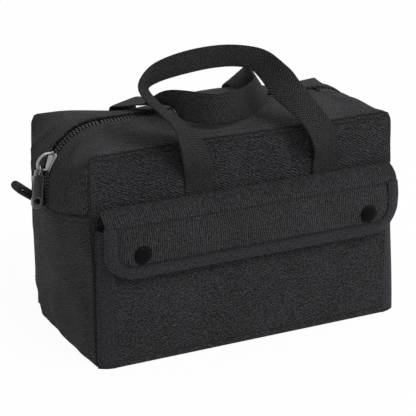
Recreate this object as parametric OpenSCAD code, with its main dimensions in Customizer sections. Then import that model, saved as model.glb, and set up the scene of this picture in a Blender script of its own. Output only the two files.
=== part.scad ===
/* [Body] */
// Length of the bag between its end seams
body_l = 280; // [240:5:320]
// Depth of the bag at its base
base_d = 142; // [126:1:160]
// Depth of the bag at the top edges of its front and back
top_d = 127; // [116:1:140]
// Height of the front and back panels
body_h = 178.5; // [160:0.5:200]
// Height of the crown at the zip above the panels
crown_rise = 7.5; // [6:0.5:12]
// How far each end swells beyond the end seams
end_bulge = 12.5; // [8:0.5:16]
// Thickness of the doubled canvas
cloth_t = 2; // [1.2:0.1:2.4]
// Radius of the top corners of the front and back panels
corner_r = 10; // [7:0.5:14]
// Radius of the zip's curve at each end
zip_arc_r = 50; // [44:0.5:58]
// Height of the end seam at the panels
end_seam_z = 130; // [120:1:138]
// Drop of the end seam towards the zip
end_seam_drop = 10; // [6:1:14]
// How far inside the zip's curve each end of the opening top stops
mouth_inset = 2; // [1:0.5:8]

/* [Zip] */
// Bare strip on each side of the zip's middle, between the canvas edges
zip_reveal = 7.6; // [7.2:0.1:9]
// Outer edge of each zip tape from the middle
tape_out = 11; // [10:0.5:13]
// Thickness of the zip tape
tape_t = 0.6; // [0.5:0.1:0.8]
// Width of one row of teeth
teeth_w = 2.8; // [2.2:0.1:3]
// Height of the teeth
teeth_h = 3; // [2.6:0.1:3.4]
// Gap between the two rows of teeth
teeth_gap = 1.8; // [1.6:0.1:2.2]
// Length of the slider along the zip
slider_l = 17; // [15:0.5:19]
// Width of the slider across the zip
slider_w = 13.2; // [12.4:0.2:14]
// Thickness of the slider's plates
slider_t = 1.5; // [1.2:0.1:1.8]
// Angle of the slider above the level of the curve's centre
slider_angle = 25; // [22:1:30]
// Length of the puller
puller_l = 33; // [28:1:36]
// Width of the puller
puller_w = 9.6; // [8:0.2:10]
// Thickness of the puller's web
puller_t = 1.4; // [1.2:0.1:1.8]

/* [Front pocket] */
// Width of the pocket's face
pocket_w = 254; // [230:2:262]
// Height of the pocket's face
pocket_h = 118; // [104:1:122]
// Thickness of the pocket's canvas
pocket_t = 1.6; // [1.2:0.1:2]
// How far the pocket's face stands in front of the base edge
pocket_stand = 9.5; // [8.5:0.5:11]
// Width of the slanting side tapes, measured along the front
side_tape_w = 10.5; // [8:0.5:12]

/* [Flap] */
// Width of the flap
flap_w = 270; // [250:2:276]
// Height of the fold that the flap hangs from
flap_z = 135; // [128:0.5:137]
// Length of the flap from its fold down to its lower edge
flap_h = 55; // [48:1:60]
// Thickness of the flap
flap_t = 2.4; // [1.8:0.1:3]
// How far the flap's face stands in front of its fold
flap_stand = 17; // [15:0.5:19]
// Radius of the flap's lower corners
flap_r = 22; // [16:1:26]
// Width of the binding round the flap
binding_w = 11; // [8:0.5:13]
// Thickness that the binding adds to the flap's face
binding_t = 0.8; // [0.5:0.1:1.2]
// Distance of each snap from the middle
snap_x = 105; // [95:1:112]
// Height of the snaps
snap_z = 99; // [96:0.5:104]
// Diameter of the snap caps
snap_d = 15; // [12:0.5:16]
// Thickness of the snap caps
snap_t = 3; // [2:0.2:3.6]
// Diameter of the snap's stud
stud_d = 6; // [4.5:0.5:7]

/* [Handles] */
// Width of the webbing
webbing_w = 25.4; // [22:0.2:27]
// Thickness of the webbing
webbing_t = 2; // [1.6:0.1:2.4]
// Distance between the two legs of a handle
leg_gap = 119; // [110:1:128]
// Middle of the two legs, to the right of the bag's middle
leg_mid = 14.5; // [8:0.5:20]
// Height at which the handles leave the panels
handle_z = 141; // [139:0.5:145]
// Height of the front handle's grip above the top of the bag
front_stand = 59.5; // [56:0.5:64]
// Height of the back handle's highest part above the top of the bag
back_stand = 22; // [21:0.5:26]
// Length of webbing sewn to the panel below each leg
sewn_l = 40; // [28:1:50]
// Height of the seam strip that carries the flap
flap_seam_h = 12.7; // [10:0.1:15]

/* [Inside] */
// Height of the inside pockets
inner_h = 90; // [70:1:100]
// Depth of the inside pockets
inner_d = 9; // [8.5:0.5:11]
// Number of inside pockets along each side
inner_count = 4; // [2:1:5]
// Thickness of the inside pockets' canvas
inner_t = 1.2; // [1:0.1:1.6]
// Thickness of the base reinforcement
board_t = 2; // [1.4:0.1:3]

/* [Pull tabs] */
// Length of each pull tab
tab_l = 28; // [20:1:32]
// Width of each pull tab
tab_w = 17; // [12:1:20]
// Thickness of the folded pull tab at its tip
tab_t = 7.6; // [6:0.1:7.8]
// Angle at which the pull tabs point up
tab_angle = 38; // [25:1:45]

/* [Hidden] */
$fn = 48;

canvas = [0.19, 0.19, 0.2];
canvas_inside = [0.24, 0.24, 0.25];
webbing = [0.22, 0.22, 0.23];
tape_color = [0.2, 0.19, 0.23];
zip_black = [0.06, 0.06, 0.07];
metal = [0.78, 0.78, 0.78];
snap_black = [0.03, 0.03, 0.03];

// Running and seam clearances, and the overrun of cuts
gap = 0.3;
seam_gap = 0.2;
cut = 1;

// The walls lean in towards the top
half_l = body_l / 2;
lean = atan((base_d - top_d) / 2 / body_h);
function wall_y(z) = base_d / 2 - z * (base_d - top_d) / 2 / body_h;
wall_in = cloth_t / cos(lean) + seam_gap;
function inside_y(z) = wall_y(z) - wall_in;

// The swell across the depth: 0 at a panel, 1 at the zip, for u from -1 to 1
function swell(u) = 1 - u * u;
function end_a(u) = half_l + end_bulge * swell(u);
function top_h(u) = body_h + crown_rise * swell(u);
function arc_r(u) = corner_r + (zip_arc_r - corner_r) * swell(u);
function seam_z(u) = end_seam_z - end_seam_drop * swell(u);

// The zip's curve at the left end: its centre, and where the top that opens stops
arc_x = half_l + end_bulge - zip_arc_r;
arc_z = body_h + crown_rise - zip_arc_r;
mouth_half = arc_x - mouth_inset;
split_x = mouth_half + gap;

// A closed shell between two grids of points with the same rows and columns. Rows by
// columns, turned by the right hand, points out of the first grid.
module shell(outer, inner) {
    m = len(outer);
    n = len(outer[0]);
    points = concat([for (row = outer) each row], [for (row = inner) each row]);
    function a(i, j) = i * n + j;
    function b(i, j) = m * n + i * n + j;
    faces = concat(
        [for (i = [0:m - 2], j = [0:n - 2]) each
            [[a(i, j), a(i, j + 1), a(i + 1, j + 1)], [a(i, j), a(i + 1, j + 1), a(i + 1, j)]]],
        [for (i = [0:m - 2], j = [0:n - 2]) each
            [[b(i, j), b(i + 1, j + 1), b(i, j + 1)], [b(i, j), b(i + 1, j), b(i + 1, j + 1)]]],
        [for (i = [0:m - 2]) each
            [[a(i, 0), a(i + 1, 0), b(i + 1, 0)], [a(i, 0), b(i + 1, 0), b(i, 0)]]],
        [for (i = [0:m - 2]) each
            [[a(i, n - 1), b(i + 1, n - 1), a(i + 1, n - 1)], [a(i, n - 1), b(i, n - 1), b(i + 1, n - 1)]]],
        [for (j = [0:n - 2]) each
            [[a(0, j), b(0, j + 1), a(0, j + 1)], [a(0, j), b(0, j), b(0, j + 1)]]],
        [for (j = [0:n - 2]) each
            [[a(m - 1, j), a(m - 1, j + 1), b(m - 1, j + 1)], [a(m - 1, j), b(m - 1, j + 1), b(m - 1, j)]]]);
    polyhedron(points, faces);
}

// Draws a flat outline across the bag, with its X as depth and its Y as height
module along_x(half) {
    translate([-half, 0, 0]) rotate([90, 0, 90]) linear_extrude(2 * half) children();
}

// Base
module bottom_panel() {
    color(canvas) linear_extrude(cloth_t) square([body_l, base_d], center = true);
}

inner_half_l = half_l - cloth_t - 2 * gap;
inner_layer = inner_d + inner_t + seam_gap;
module bottom_reinforcement() {
    color(canvas_inside)
        translate([0, 0, cloth_t])
            linear_extrude(board_t)
                square([2 * inner_half_l, 2 * (inside_y(0) - inner_layer - gap)], center = true);
}

// Front and back panels, which stand on the base and lean in
wall_foot = cloth_t + seam_gap;
wall_rise = (body_h - wall_foot) / cos(lean);
module wall_outline() {
    translate([-half_l, 0]) square([body_l, wall_rise - corner_r]);
    translate([-half_l + corner_r, 0]) square([body_l - 2 * corner_r, wall_rise]);
    for (side = [-1, 1]) translate([side * (half_l - corner_r), wall_rise - corner_r]) circle(corner_r);
}

// Places what is drawn against the front panel: Y is 0 on its outer face and goes in
module on_front_wall() {
    translate([0, -wall_y(wall_foot), wall_foot + cloth_t * sin(lean)])
        rotate([-lean, 0, 0]) children();
}
// Height along the panel for a height above the ground
function wall_z(z) = (z - wall_foot - cloth_t * sin(lean)) / cos(lean);

module front_panel() {
    color(canvas)
        on_front_wall() translate([0, cloth_t, 0]) rotate([90, 0, 0]) linear_extrude(cloth_t) wall_outline();
}

module back_panel() {
    mirror([0, 1, 0]) front_panel();
}

// End panels, swollen between the front and back and cut along the end seam
end_rows = 6;
end_columns = 8;
foot_share = 0.2;
function foot_swell(z) = foot_share + (1 - foot_share) * sin(90 * min(1, z / (end_seam_z - end_seam_drop)));
function end_point(u, v, inset) =
    let (z = wall_foot + v * (seam_z(u) - wall_foot - seam_gap))
    [-(half_l + end_bulge * swell(u) * foot_swell(z) - inset), u * inside_y(z), z];
function end_grid(inset) =
    [for (i = [0:end_rows]) [for (j = [0:end_columns]) end_point(2 * j / end_columns - 1, i / end_rows, inset)]];
module left_end_panel() {
    color(canvas) shell(end_grid(0), end_grid(cloth_t));
}

module right_end_panel() {
    mirror([1, 0, 0]) left_end_panel();
}

// Gussets, which carry the zip from the end seam round the corner
arc_steps = 9;
gusset_columns = 5;
zip_u = zip_reveal / inside_y(body_h);
function gusset_line(u, inset) = concat(
    [[-(end_a(u) - inset), seam_z(u)]],
    [for (k = [0:arc_steps]) let (a = 90 * k / arc_steps, r = arc_r(u) - inset)
        [-(end_a(u) - arc_r(u)) - r * cos(a), top_h(u) - arc_r(u) + r * sin(a)]],
    [[-split_x, top_h(u) - inset]]);
function gusset_grid(inset) =
    [for (j = [0:gusset_columns]) let (u = 1 - (1 - zip_u) * j / gusset_columns)
        [for (p = gusset_line(u, inset)) [p[0], -u * inside_y(min(p[1], body_h)), p[1]]]];
module left_gusset_front() {
    color(canvas) shell(gusset_grid(cloth_t), gusset_grid(0));
}
module left_gusset_back() { mirror([0, 1, 0]) left_gusset_front(); }
module right_gusset_front() { mirror([1, 0, 0]) left_gusset_front(); }
module right_gusset_back() { mirror([1, 0, 0]) left_gusset_back(); }

// The zip lies just under the canvas
tape_r = zip_arc_r - cloth_t - 2 * gap - tape_t / 2;
teeth_in = teeth_gap / 2;
teeth_out = teeth_in + teeth_w;
zip_foot_z = seam_z(0) + gap;

// A strip that follows the zip at the left end, from the end seam to where the top opens
module zip_run(r_in, r_out, y_in, y_out) {
    translate([-arc_x, 0, arc_z])
        rotate([90, 0, 0])
            rotate([0, 0, 90])
                rotate_extrude(angle = 90, $fn = 96)
                    translate([r_in, y_in]) square([r_out - r_in, y_out - y_in]);
    translate([-arc_x - r_out, -y_out, zip_foot_z])
        cube([r_out - r_in, y_out - y_in, arc_z - zip_foot_z]);
    translate([-arc_x, -y_out, arc_z + r_in])
        cube([arc_x - split_x, y_out - y_in, r_out - r_in]);
}

module left_zip_tapes() {
    color(zip_black)
        for (back = [0, 1]) mirror([0, back, 0])
            zip_run(tape_r - tape_t / 2, tape_r + tape_t / 2, teeth_out, tape_out);
}
module left_zip_teeth() {
    color(zip_black)
        for (back = [0, 1]) mirror([0, back, 0])
            zip_run(tape_r - teeth_h / 2, tape_r + teeth_h / 2, teeth_in, teeth_out);
}
module right_zip_tapes() { mirror([1, 0, 0]) left_zip_tapes(); }
module right_zip_teeth() { mirror([1, 0, 0]) left_zip_teeth(); }

// The two halves of the top that open, each drawn across the depth and run along the bag
band_steps = 8;
band_y = inside_y(body_h);
function band_line(inset) =
    [for (k = [0:band_steps]) let (u = 1 - (1 - zip_u) * k / band_steps) [-u * band_y, top_h(u) - inset]];

module top_band_front() {
    lower = band_line(cloth_t);
    color(canvas)
        along_x(mouth_half)
            polygon(concat(band_line(0), [for (k = [band_steps:-1:0]) lower[k]]));
}

module top_tape_front() {
    color(zip_black)
        along_x(mouth_half)
            translate([-tape_out, arc_z + tape_r - tape_t / 2]) square([tape_out - teeth_out, tape_t]);
}

module top_teeth_front() {
    color(zip_black)
        along_x(mouth_half)
            translate([-teeth_out, arc_z + tape_r - teeth_h / 2]) square([teeth_w, teeth_h]);
}
module top_band_back() { mirror([0, 1, 0]) top_band_front(); }
module top_tape_back() { mirror([0, 1, 0]) top_tape_front(); }
module top_teeth_back() { mirror([0, 1, 0]) top_teeth_front(); }

// Slider: two curved plates joined between the rows of teeth, with lips beside them and an eye
lip_t = 1.2;
teeth_play = 0.42;
slider_in = tape_r - teeth_h / 2 - teeth_play;
slider_out = tape_r + teeth_h / 2 + teeth_play;
slider_span = slider_l / slider_out * 180 / PI;
post_w = teeth_gap - 2 * gap;
eye_r = 1.5;
eye_wall = 1.4;
eye_h = 7.6;
eye_w = 3.4;
eye_back = 5.5;
module slider_arc(r_in, r_out, y_in, y_out) {
    rotate([90, 0, 0])
        rotate([0, 0, 180 - slider_angle - slider_span / 2])
            rotate_extrude(angle = slider_span, $fn = 96)
                translate([r_in, y_in]) square([r_out - r_in, y_out - y_in]);
}

// Turns what is drawn with X up along the zip and Z outwards onto the slider's outer face
module on_slider() {
    translate([-arc_x, 0, arc_z])
        rotate([0, slider_angle - 90, 0]) translate([0, 0, slider_out + slider_t]) children();
}

module zip_slider() {
    color(metal) {
        translate([-arc_x, 0, arc_z]) {
            slider_arc(slider_out, slider_out + slider_t, -slider_w / 2, slider_w / 2);
            slider_arc(slider_in - slider_t, slider_in, -slider_w / 2, slider_w / 2);
            slider_arc(slider_in - slider_t / 2, slider_out + slider_t / 2, -post_w / 2, post_w / 2);
            for (side = [0, 1]) mirror([0, side, 0]) {
                slider_arc(tape_r + tape_t / 2 + gap, slider_out + slider_t / 2,
                    slider_w / 2 - lip_t, slider_w / 2);
                slider_arc(slider_in - slider_t / 2, tape_r - tape_t / 2 - gap,
                    slider_w / 2 - lip_t, slider_w / 2);
            }
        }
        on_slider() rotate([90, 0, 0]) linear_extrude(eye_w, center = true) eye_outline();
    }
}

module eye_outline() {
    foot = -slider_t / 2;
    difference() {
        union() {
            polygon([
                [-eye_back - eye_r - eye_wall, eye_h], [-eye_back - eye_r, foot],
                [eye_back + eye_r, foot], [eye_back - eye_r, eye_h / 2],
                [-eye_back + eye_r + eye_wall, eye_h + eye_wall]]);
            translate([-eye_back, eye_h]) circle(eye_r + eye_wall);
        }
        translate([-eye_back, eye_h]) circle(eye_r);
    }
}

// The eye's centre, which the ring and the puller turn about
eye_out_r = slider_out + slider_t + eye_h;
eye_x = -arc_x - eye_out_r * cos(slider_angle) - eye_back * sin(slider_angle);
eye_z = arc_z + eye_out_r * sin(slider_angle) - eye_back * cos(slider_angle);
ring_r = 3.4;
wire_r = 0.7;
hang_angle = 6;
module hanging() {
    translate([eye_x, 0, eye_z]) rotate([0, hang_angle, 0]) children();
}

module puller_ring() {
    color(metal)
        hanging() translate([0, 0, -ring_r]) rotate([0, 90, 0])
            rotate_extrude() translate([ring_r, 0]) circle(wire_r, $fn = 16);
}

puller_rim = 0.5;
puller_rim_w = 1.1;
puller_hole_r = 3.1;
puller_top_r = 1.3;
puller_top_share = 0.7;
module puller_outline(inset) {
    r = puller_w / 2;
    top_w = puller_w * puller_top_share;
    translate([0, -puller_l + r]) circle(r - inset);
    translate([-r + inset, -puller_l + r]) square([puller_w - 2 * inset, puller_l - 2 * r]);
    translate([-top_w / 2 + inset, -r - cut]) square([top_w - 2 * inset, r + cut - inset]);
}

module zip_puller() {
    top = puller_top_r + puller_rim_w;
    hole_h = puller_t + 2 * puller_rim + cut;
    color(metal)
        hanging()
            translate([0, 0, top - 2 * ring_r])
                rotate([90, 0, 0])
                    difference() {
                        union() {
                            linear_extrude(puller_t, center = true) puller_outline(0);
                            for (side = [0, 1]) mirror([0, 0, side])
                                translate([0, 0, puller_t / 2])
                                    linear_extrude(puller_rim)
                                        difference() {
                                            puller_outline(0);
                                            puller_outline(puller_rim_w);
                                        }
                        }
                        translate([0, -puller_l + puller_w / 2 + puller_rim_w, 0])
                            cylinder(h = hole_h, r = puller_hole_r, center = true);
                        translate([0, -top, 0]) cylinder(h = hole_h, r = puller_top_r, center = true);
                    }
}

// Front pocket: a face, a floor and two slanting side tapes
pocket_y = base_d / 2 + pocket_stand;
module front_pocket() {
    color(canvas) {
        translate([-pocket_w / 2, -pocket_y, 0]) cube([pocket_w, pocket_t, pocket_h]);
        translate([-pocket_w / 2, -pocket_y, 0]) cube([pocket_w, pocket_stand - seam_gap, pocket_t]);
    }
}

// Each tape runs from the pocket's face back to the panel, and follows the panel's lean
module pocket_side_tapes() {
    x_in = pocket_w / 2 + seam_gap;
    x_out = x_in + side_tape_w;
    rows = [for (z = [0, pocket_h])
        [[x_in, -pocket_y, z], [x_out, -wall_y(z) - seam_gap - pocket_t, z]]];
    inner_rows = [for (row = rows) [for (p = row) [p[0], p[1] + pocket_t, p[2]]]];
    for (side = [0, 1]) mirror([side, 0, 0]) color(tape_color) shell(inner_rows, rows);
}

// Seam strip that carries the flap, with notches for the sewn ends of the front handle
flap_seam_inset = 5;
seam_top = flap_z - gap;
seam_foot = seam_top - flap_seam_h;
function leg_x(side) = leg_mid + side * leg_gap / 2;
module flap_seam() {
    notch = webbing_t + seam_gap + gap;
    color(canvas)
        difference() {
            along_x(flap_w / 2 - flap_seam_inset)
                polygon([
                    [-base_d / 2, seam_foot], [-base_d / 2, seam_top],
                    [-wall_y(seam_top) - seam_gap, seam_top], [-wall_y(seam_foot) - seam_gap, seam_foot]]);
            for (side = [-1, 1])
                translate([leg_x(side) - webbing_w / 2 - gap, -wall_y(seam_foot) - notch, seam_foot - cut])
                    cube([webbing_w + 2 * gap, notch + cut, flap_seam_h + 2 * cut]);
        }
}

// Flap: its profile from the fold down, as shares of its length and of its stand, and
// the way to its inside
flap_shares = [
    [0, 0, 0, -1], [0.05, 0.35, 0.4, -0.9], [0.17, 0.72, 0.8, -0.6],
    [0.34, 0.93, 1, 0], [0.46, 1, 1, 0], [0.82, 1, 1, 0], [1, 0.97, 1, 0]
];
flap_x_shares = [-1, -0.985, -0.95, -0.9, -0.86, -0.8, -0.4, 0, 0.4, 0.8, 0.86, 0.9, 0.95, 0.985, 1];
stand_shares = [for (p = flap_shares) [p[0], p[1]]];
flap_y = base_d / 2 + gap;
flap_face = flap_y + flap_stand;
flap_flat_share = 0.86;
flap_turn_share = 0.3;
// The ends of the flap turn back to the bag towards its lower edge
function flap_turn(x) = flap_turn_share * max(0, abs(x) - flap_flat_share * flap_w / 2);
// The lower corners are round, so each column has its own lower end
function flap_foot(x) =
    let (d = max(0, abs(x) - flap_w / 2 + flap_r)) flap_h - flap_r + sqrt(max(0, flap_r * flap_r - d * d));
function flap_at(x, z, lift) =
    let (drop = (flap_z - z) / flap_h)
    [x, -flap_y - flap_stand * lookup(drop, stand_shares) + flap_turn(x) * drop - lift, z];
flap_outer = [for (p = flap_shares) [for (s = flap_x_shares)
    let (x = s * flap_w / 2) flap_at(x, flap_z - p[0] * flap_foot(x), 0)]];
flap_inner = [for (i = [0:len(flap_shares) - 1]) [for (q = flap_outer[i])
    q + flap_t * [0, flap_shares[i][2], flap_shares[i][3]]]];
module flap() {
    color(canvas) shell(flap_inner, flap_outer);
}

// Binding round the sides and the lower edge of the flap, from below the tuck
binding_top_share = 0.24;
binding_over = 0.6;
corner_steps = 6;
side_drop_shares = [0.24, 0.34, 0.46];
flap_corner_z = flap_z - flap_h + flap_r;
flap_corner_x = flap_w / 2 - flap_r;
left_edge = concat(
    [for (d = side_drop_shares) [-flap_w / 2, flap_z - d * flap_h, 1, 0]],
    [for (k = [0:corner_steps]) let (a = 180 + 90 * k / corner_steps)
        [-flap_corner_x + flap_r * cos(a), flap_corner_z + flap_r * sin(a), -cos(a), -sin(a)]]);
edge_n = len(left_edge);
edge_path = concat(left_edge, [for (k = [edge_n - 1:-1:0]) let (p = left_edge[k]) [-p[0], p[1], -p[2], p[3]]]);
function binding_rows(lift) =
    [for (p = edge_path) [for (w = [-binding_over, binding_w - binding_over])
        flap_at(p[0] + w * p[2], p[1] + w * p[3], lift)]];
module flap_binding() {
    lift = 2 * seam_gap;
    color(tape_color) shell(binding_rows(lift + binding_t), binding_rows(lift));
}

// Snaps: caps on the flap's face, sockets behind them and studs on the pocket
cap_shares = [[0, 0], [1, 0], [1, 0.4], [0.94, 0.65], [0.8, 0.85], [0.5, 0.97], [0, 1]];
socket_r = 6;
socket_t = 1.4;
snap_play = 0.6;
flange_t = 1;
module at_snaps(y) {
    for (side = [-1, 1]) translate([side * snap_x, -y, snap_z]) rotate([90, 0, 0]) children();
}
module snap_caps() {
    color(snap_black)
        at_snaps(flap_face)
            rotate_extrude() polygon([for (p = cap_shares) [p[0] * snap_d / 2, p[1] * snap_t]]);
}
module snap_sockets() {
    color(metal)
        at_snaps(flap_face - flap_t - socket_t)
            difference() {
                cylinder(h = socket_t, r = socket_r);
                translate([0, 0, -cut]) cylinder(h = socket_t + 2 * cut, r = stud_d / 2 + snap_play);
            }
}
module snap_studs() {
    color(metal)
        at_snaps(pocket_y) {
            cylinder(h = flange_t, r = socket_r);
            cylinder(h = flap_face - flap_t - pocket_y - gap, r = stud_d / 2);
        }
}

// Routes of the handles as shares: across from the middle of the legs, of half their
// distance; out from the bag's middle, of the legs' own place; up, of the handle's rise;
// then the direction of the webbing's width
handle_y = wall_y(handle_z) + 2 * gap + webbing_t / 2;
front_rise = body_h + crown_rise + front_stand - handle_z;
back_rise = body_h + crown_rise + back_stand - handle_z;
front_route_shares = [
    [-1, 1, 0, 1, 0, 0], [-1, 1.006, 0.06, 1, 0, 0.03], [-1.035, 1.06, 0.15, 0.99, -0.08, 0.15],
    [-1.12, 1.14, 0.275, 0.95, 0.1, 0.3], [-1.25, 1.155, 0.43, 0.78, 0.55, 0.25],
    [-1.4, 1.095, 0.565, 0.5, 0.86, 0.05], [-1.57, 1.02, 0.67, 0.45, 0.89, 0],
    [-1.7, 0.96, 0.755, 0.5, 0.87, 0], [-1.765, 0.915, 0.84, 0.66, 0.68, -0.32],
    [-1.655, 0.885, 0.91, 0.36, 0.56, -0.75], [-1.42, 0.87, 0.955, 0.2, 0.48, -0.85],
    [-1.05, 0.88, 0.99, 0.1, 0.45, -0.89], [-0.65, 0.885, 1, -0.04, 0.5, -0.87],
    [-0.28, 0.88, 0.975, -0.16, 0.58, -0.8], [0, 0.885, 0.92, -0.22, 0.62, -0.75],
    [0.21, 0.94, 0.8, -0.45, 0.45, -0.77], [0.36, 1.005, 0.68, -0.8, 0, -0.55],
    [0.59, 1.12, 0.52, -0.84, -0.36, -0.38], [0.79, 1.15, 0.36, -0.88, -0.3, -0.3],
    [0.94, 1.09, 0.2, -0.95, -0.15, -0.2], [1, 1.025, 0.085, -1, 0, -0.05], [1, 1, 0, -1, 0, 0]
];
back_route_shares = [
    [-1, 1, 0, 1, 0, 0], [-1, 1, 0.1, 1, 0, 0], [-1.06, 1.02, 0.25, 1, 0, 0.02],
    [-1.11, 1.03, 0.44, 0.99, 0, 0.1], [-1.15, 0.99, 0.605, 0.97, 0, 0.22],
    [-1.16, 0.74, 0.69, 0.97, 0, 0.22], [-1.17, 0.45, 0.735, 0.97, 0, 0.2],
    [-1.16, 0.19, 0.77, 0.98, 0, 0.12], [-1.13, -0.045, 0.8, 0.99, 0, -0.1],
    [-1.1, -0.255, 0.865, 0.85, -0.15, -0.5], [-1.06, -0.45, 0.905, 0.4, -0.2, -0.9],
    [-0.925, -0.645, 0.9, 0.05, -0.2, -0.98], [-0.68, -0.79, 0.875, 0, -0.05, -1],
    [-0.43, -0.79, 0.87, 0.04, -0.05, -1], [-0.165, -0.69, 0.855, 0.1, -0.1, -0.99],
    [0.136, -0.495, 0.85, 0.42, 0.1, -0.88], [0.354, -0.3, 0.865, 0.53, 0.2, -0.8],
    [0.457, -0.11, 0.89, 0.56, 0.05, -0.82], [0.5, 0.06, 0.9, 0.45, -0.1, -0.87],
    [0.5, 0.24, 0.885, 0.15, -0.4, -0.85], [0.51, 0.43, 0.845, -0.35, -0.6, -0.6],
    [0.55, 0.62, 0.805, -0.65, -0.5, -0.45], [0.6, 0.8, 0.745, -0.85, -0.35, -0.3],
    [0.68, 0.98, 0.61, -0.97, -0.12, -0.1], [0.75, 1.05, 0.47, -0.98, 0.05, -0.05],
    [0.86, 1.02, 0.25, -1, 0, -0.03], [0.97, 1.006, 0.09, -1, 0, 0], [1, 1, 0, -1, 0, 0]
];
route_steps = 3;
function between(p, i, t) =
    let (a = p[max(i - 1, 0)], b = p[i], c = p[i + 1], d = p[min(i + 2, len(p) - 1)])
    (2 * b + (c - a) * t + (2 * a - 5 * b + 4 * c - d) * t * t + (3 * b - a - 3 * c + d) * t * t * t) / 2;
function route(shares) = concat(
    [for (i = [0:len(shares) - 2], k = [0:route_steps - 1]) between(shares, i, k / route_steps)],
    [shares[len(shares) - 1]]);
function centre(r, side, rise) =
    [leg_mid + r[0] * leg_gap / 2, side * r[1] * handle_y, handle_z + gap + r[2] * rise];
function unit(v) = v / norm(v);
// Rings across the webbing: its middle, its width and its thickness, square to its run
function rings(shares, side, rise) =
    let (path = route(shares), n = len(path), c = [for (r = path) centre(r, side, rise)])
    [for (i = [0:n - 1])
        let (
            run = i == 0 ? [0, 0, 1] : i == n - 1 ? [0, 0, -1] : unit(c[i + 1] - c[i - 1]),
            raw = [path[i][3], path[i][4], path[i][5]],
            across = unit(raw - (raw * run) * run))
        [c[i], across, cross(run, across)]];
function webbing_face(list, lift) =
    [for (r = list) [for (w = [-webbing_w / 2, webbing_w / 2]) r[0] + w * r[1] + lift * r[2]]];
module handle(shares, side, rise) {
    list = rings(shares, side, rise);
    color(webbing) shell(webbing_face(list, webbing_t / 2), webbing_face(list, -webbing_t / 2));
}
module front_handle() { handle(front_route_shares, -1, front_rise); }
module back_handle() { handle(back_route_shares, 1, back_rise); }

// Ends of the handles, sewn flat on the panels
sewn_top = wall_z(handle_z) - gap / 2;
module front_handle_ends() {
    color(webbing)
        on_front_wall()
            for (side = [-1, 1])
                translate([leg_x(side) - webbing_w / 2, -seam_gap - webbing_t, sewn_top - sewn_l])
                    cube([webbing_w, webbing_t, sewn_l]);
}
module back_handle_ends() { mirror([0, 1, 0]) front_handle_ends(); }

// Inside pockets along the front and the back: a face on dividers, open at the top
inner_y = cloth_t + seam_gap;
// They start higher along the leaning wall, so that their inner foot clears the base
inner_lift = (inner_y + inner_d + inner_t) * sin(lean);
module inner_pockets_front() {
    color(canvas_inside)
        on_front_wall()
            translate([-inner_half_l, inner_y + inner_d, inner_lift]) cube([2 * inner_half_l, inner_t, inner_h]);
}
module inner_dividers_front() {
    color(canvas_inside)
        on_front_wall()
            for (k = [0:inner_count])
                translate([-inner_half_l + k * (2 * inner_half_l - inner_t) / inner_count, inner_y, inner_lift])
                    cube([inner_t, inner_d, inner_h]);
}
module inner_pockets_back() { mirror([0, 1, 0]) inner_pockets_front(); }
module inner_dividers_back() { mirror([0, 1, 0]) inner_dividers_front(); }

// Pull tabs beside the ends of the zip: webbing folded to a loop and sewn in the end seam
tab_fold_t = 2;
tab_y = 3;
tab_root = 3.2;
module tab_outline(inset) {
    r = tab_t / 2 - inset;
    centre_x = tab_l - tab_t / 2;
    root = max(0, tab_root / 2 - inset);
    translate([centre_x, 0]) circle(r);
    polygon(inset > 0 ? [[tab_l / 2, 0], [centre_x, -r], [centre_x, r]]
        : [[0, -root], [centre_x, -r], [centre_x, r], [0, root]]);
}
module left_pull_tab() {
    color(webbing)
        translate([-half_l - end_bulge - gap - tab_root / 2 * sin(tab_angle), tab_y + tab_w, seam_z(0)])
            rotate([90, 0, 0])
                linear_extrude(tab_w)
                    mirror([1, 0]) rotate(tab_angle)
                        difference() {
                            tab_outline(0);
                            tab_outline(tab_fold_t);
                        }
}
module right_pull_tab() { mirror([1, 0, 0]) left_pull_tab(); }

bottom_panel();
bottom_reinforcement();
front_panel();
back_panel();
left_end_panel();
right_end_panel();
left_gusset_front();
left_gusset_back();
right_gusset_front();
right_gusset_back();
left_zip_tapes();
right_zip_tapes();
left_zip_teeth();
right_zip_teeth();
top_band_front();
top_band_back();
top_tape_front();
top_tape_back();
top_teeth_front();
top_teeth_back();
zip_slider();
puller_ring();
zip_puller();
front_pocket();
pocket_side_tapes();
snap_studs();
flap_seam();
flap();
flap_binding();
snap_caps();
snap_sockets();
front_handle();
back_handle();
front_handle_ends();
back_handle_ends();
inner_pockets_front();
inner_pockets_back();
inner_dividers_front();
inner_dividers_back();
left_pull_tab();
right_pull_tab();
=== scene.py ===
"""A canvas tool bag with a zipped domed top, two webbing handles and a flapped front pocket."""

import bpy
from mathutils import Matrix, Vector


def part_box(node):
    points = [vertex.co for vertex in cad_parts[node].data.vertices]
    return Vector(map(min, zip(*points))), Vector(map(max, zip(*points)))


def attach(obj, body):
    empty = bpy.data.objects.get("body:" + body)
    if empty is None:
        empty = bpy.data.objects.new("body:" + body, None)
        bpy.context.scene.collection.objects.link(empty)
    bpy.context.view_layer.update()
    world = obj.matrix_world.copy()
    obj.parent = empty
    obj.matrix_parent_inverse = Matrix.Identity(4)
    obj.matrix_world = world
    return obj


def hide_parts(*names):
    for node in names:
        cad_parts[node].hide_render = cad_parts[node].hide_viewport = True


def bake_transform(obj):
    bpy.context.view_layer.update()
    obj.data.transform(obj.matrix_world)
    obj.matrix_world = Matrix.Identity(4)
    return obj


bl_info = {
    "name": "Canvas Tool Bag",
    "version": (1, 0, 0),
    "blender": (4, 5, 0),
    "location": "3D View > Sidebar > Tool Bag",
    "description": "Builds a canvas tool bag over its CAD frame",
    "category": "Object",
}

import math

import bmesh
import bpy
from mathutils import Vector, noise

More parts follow.
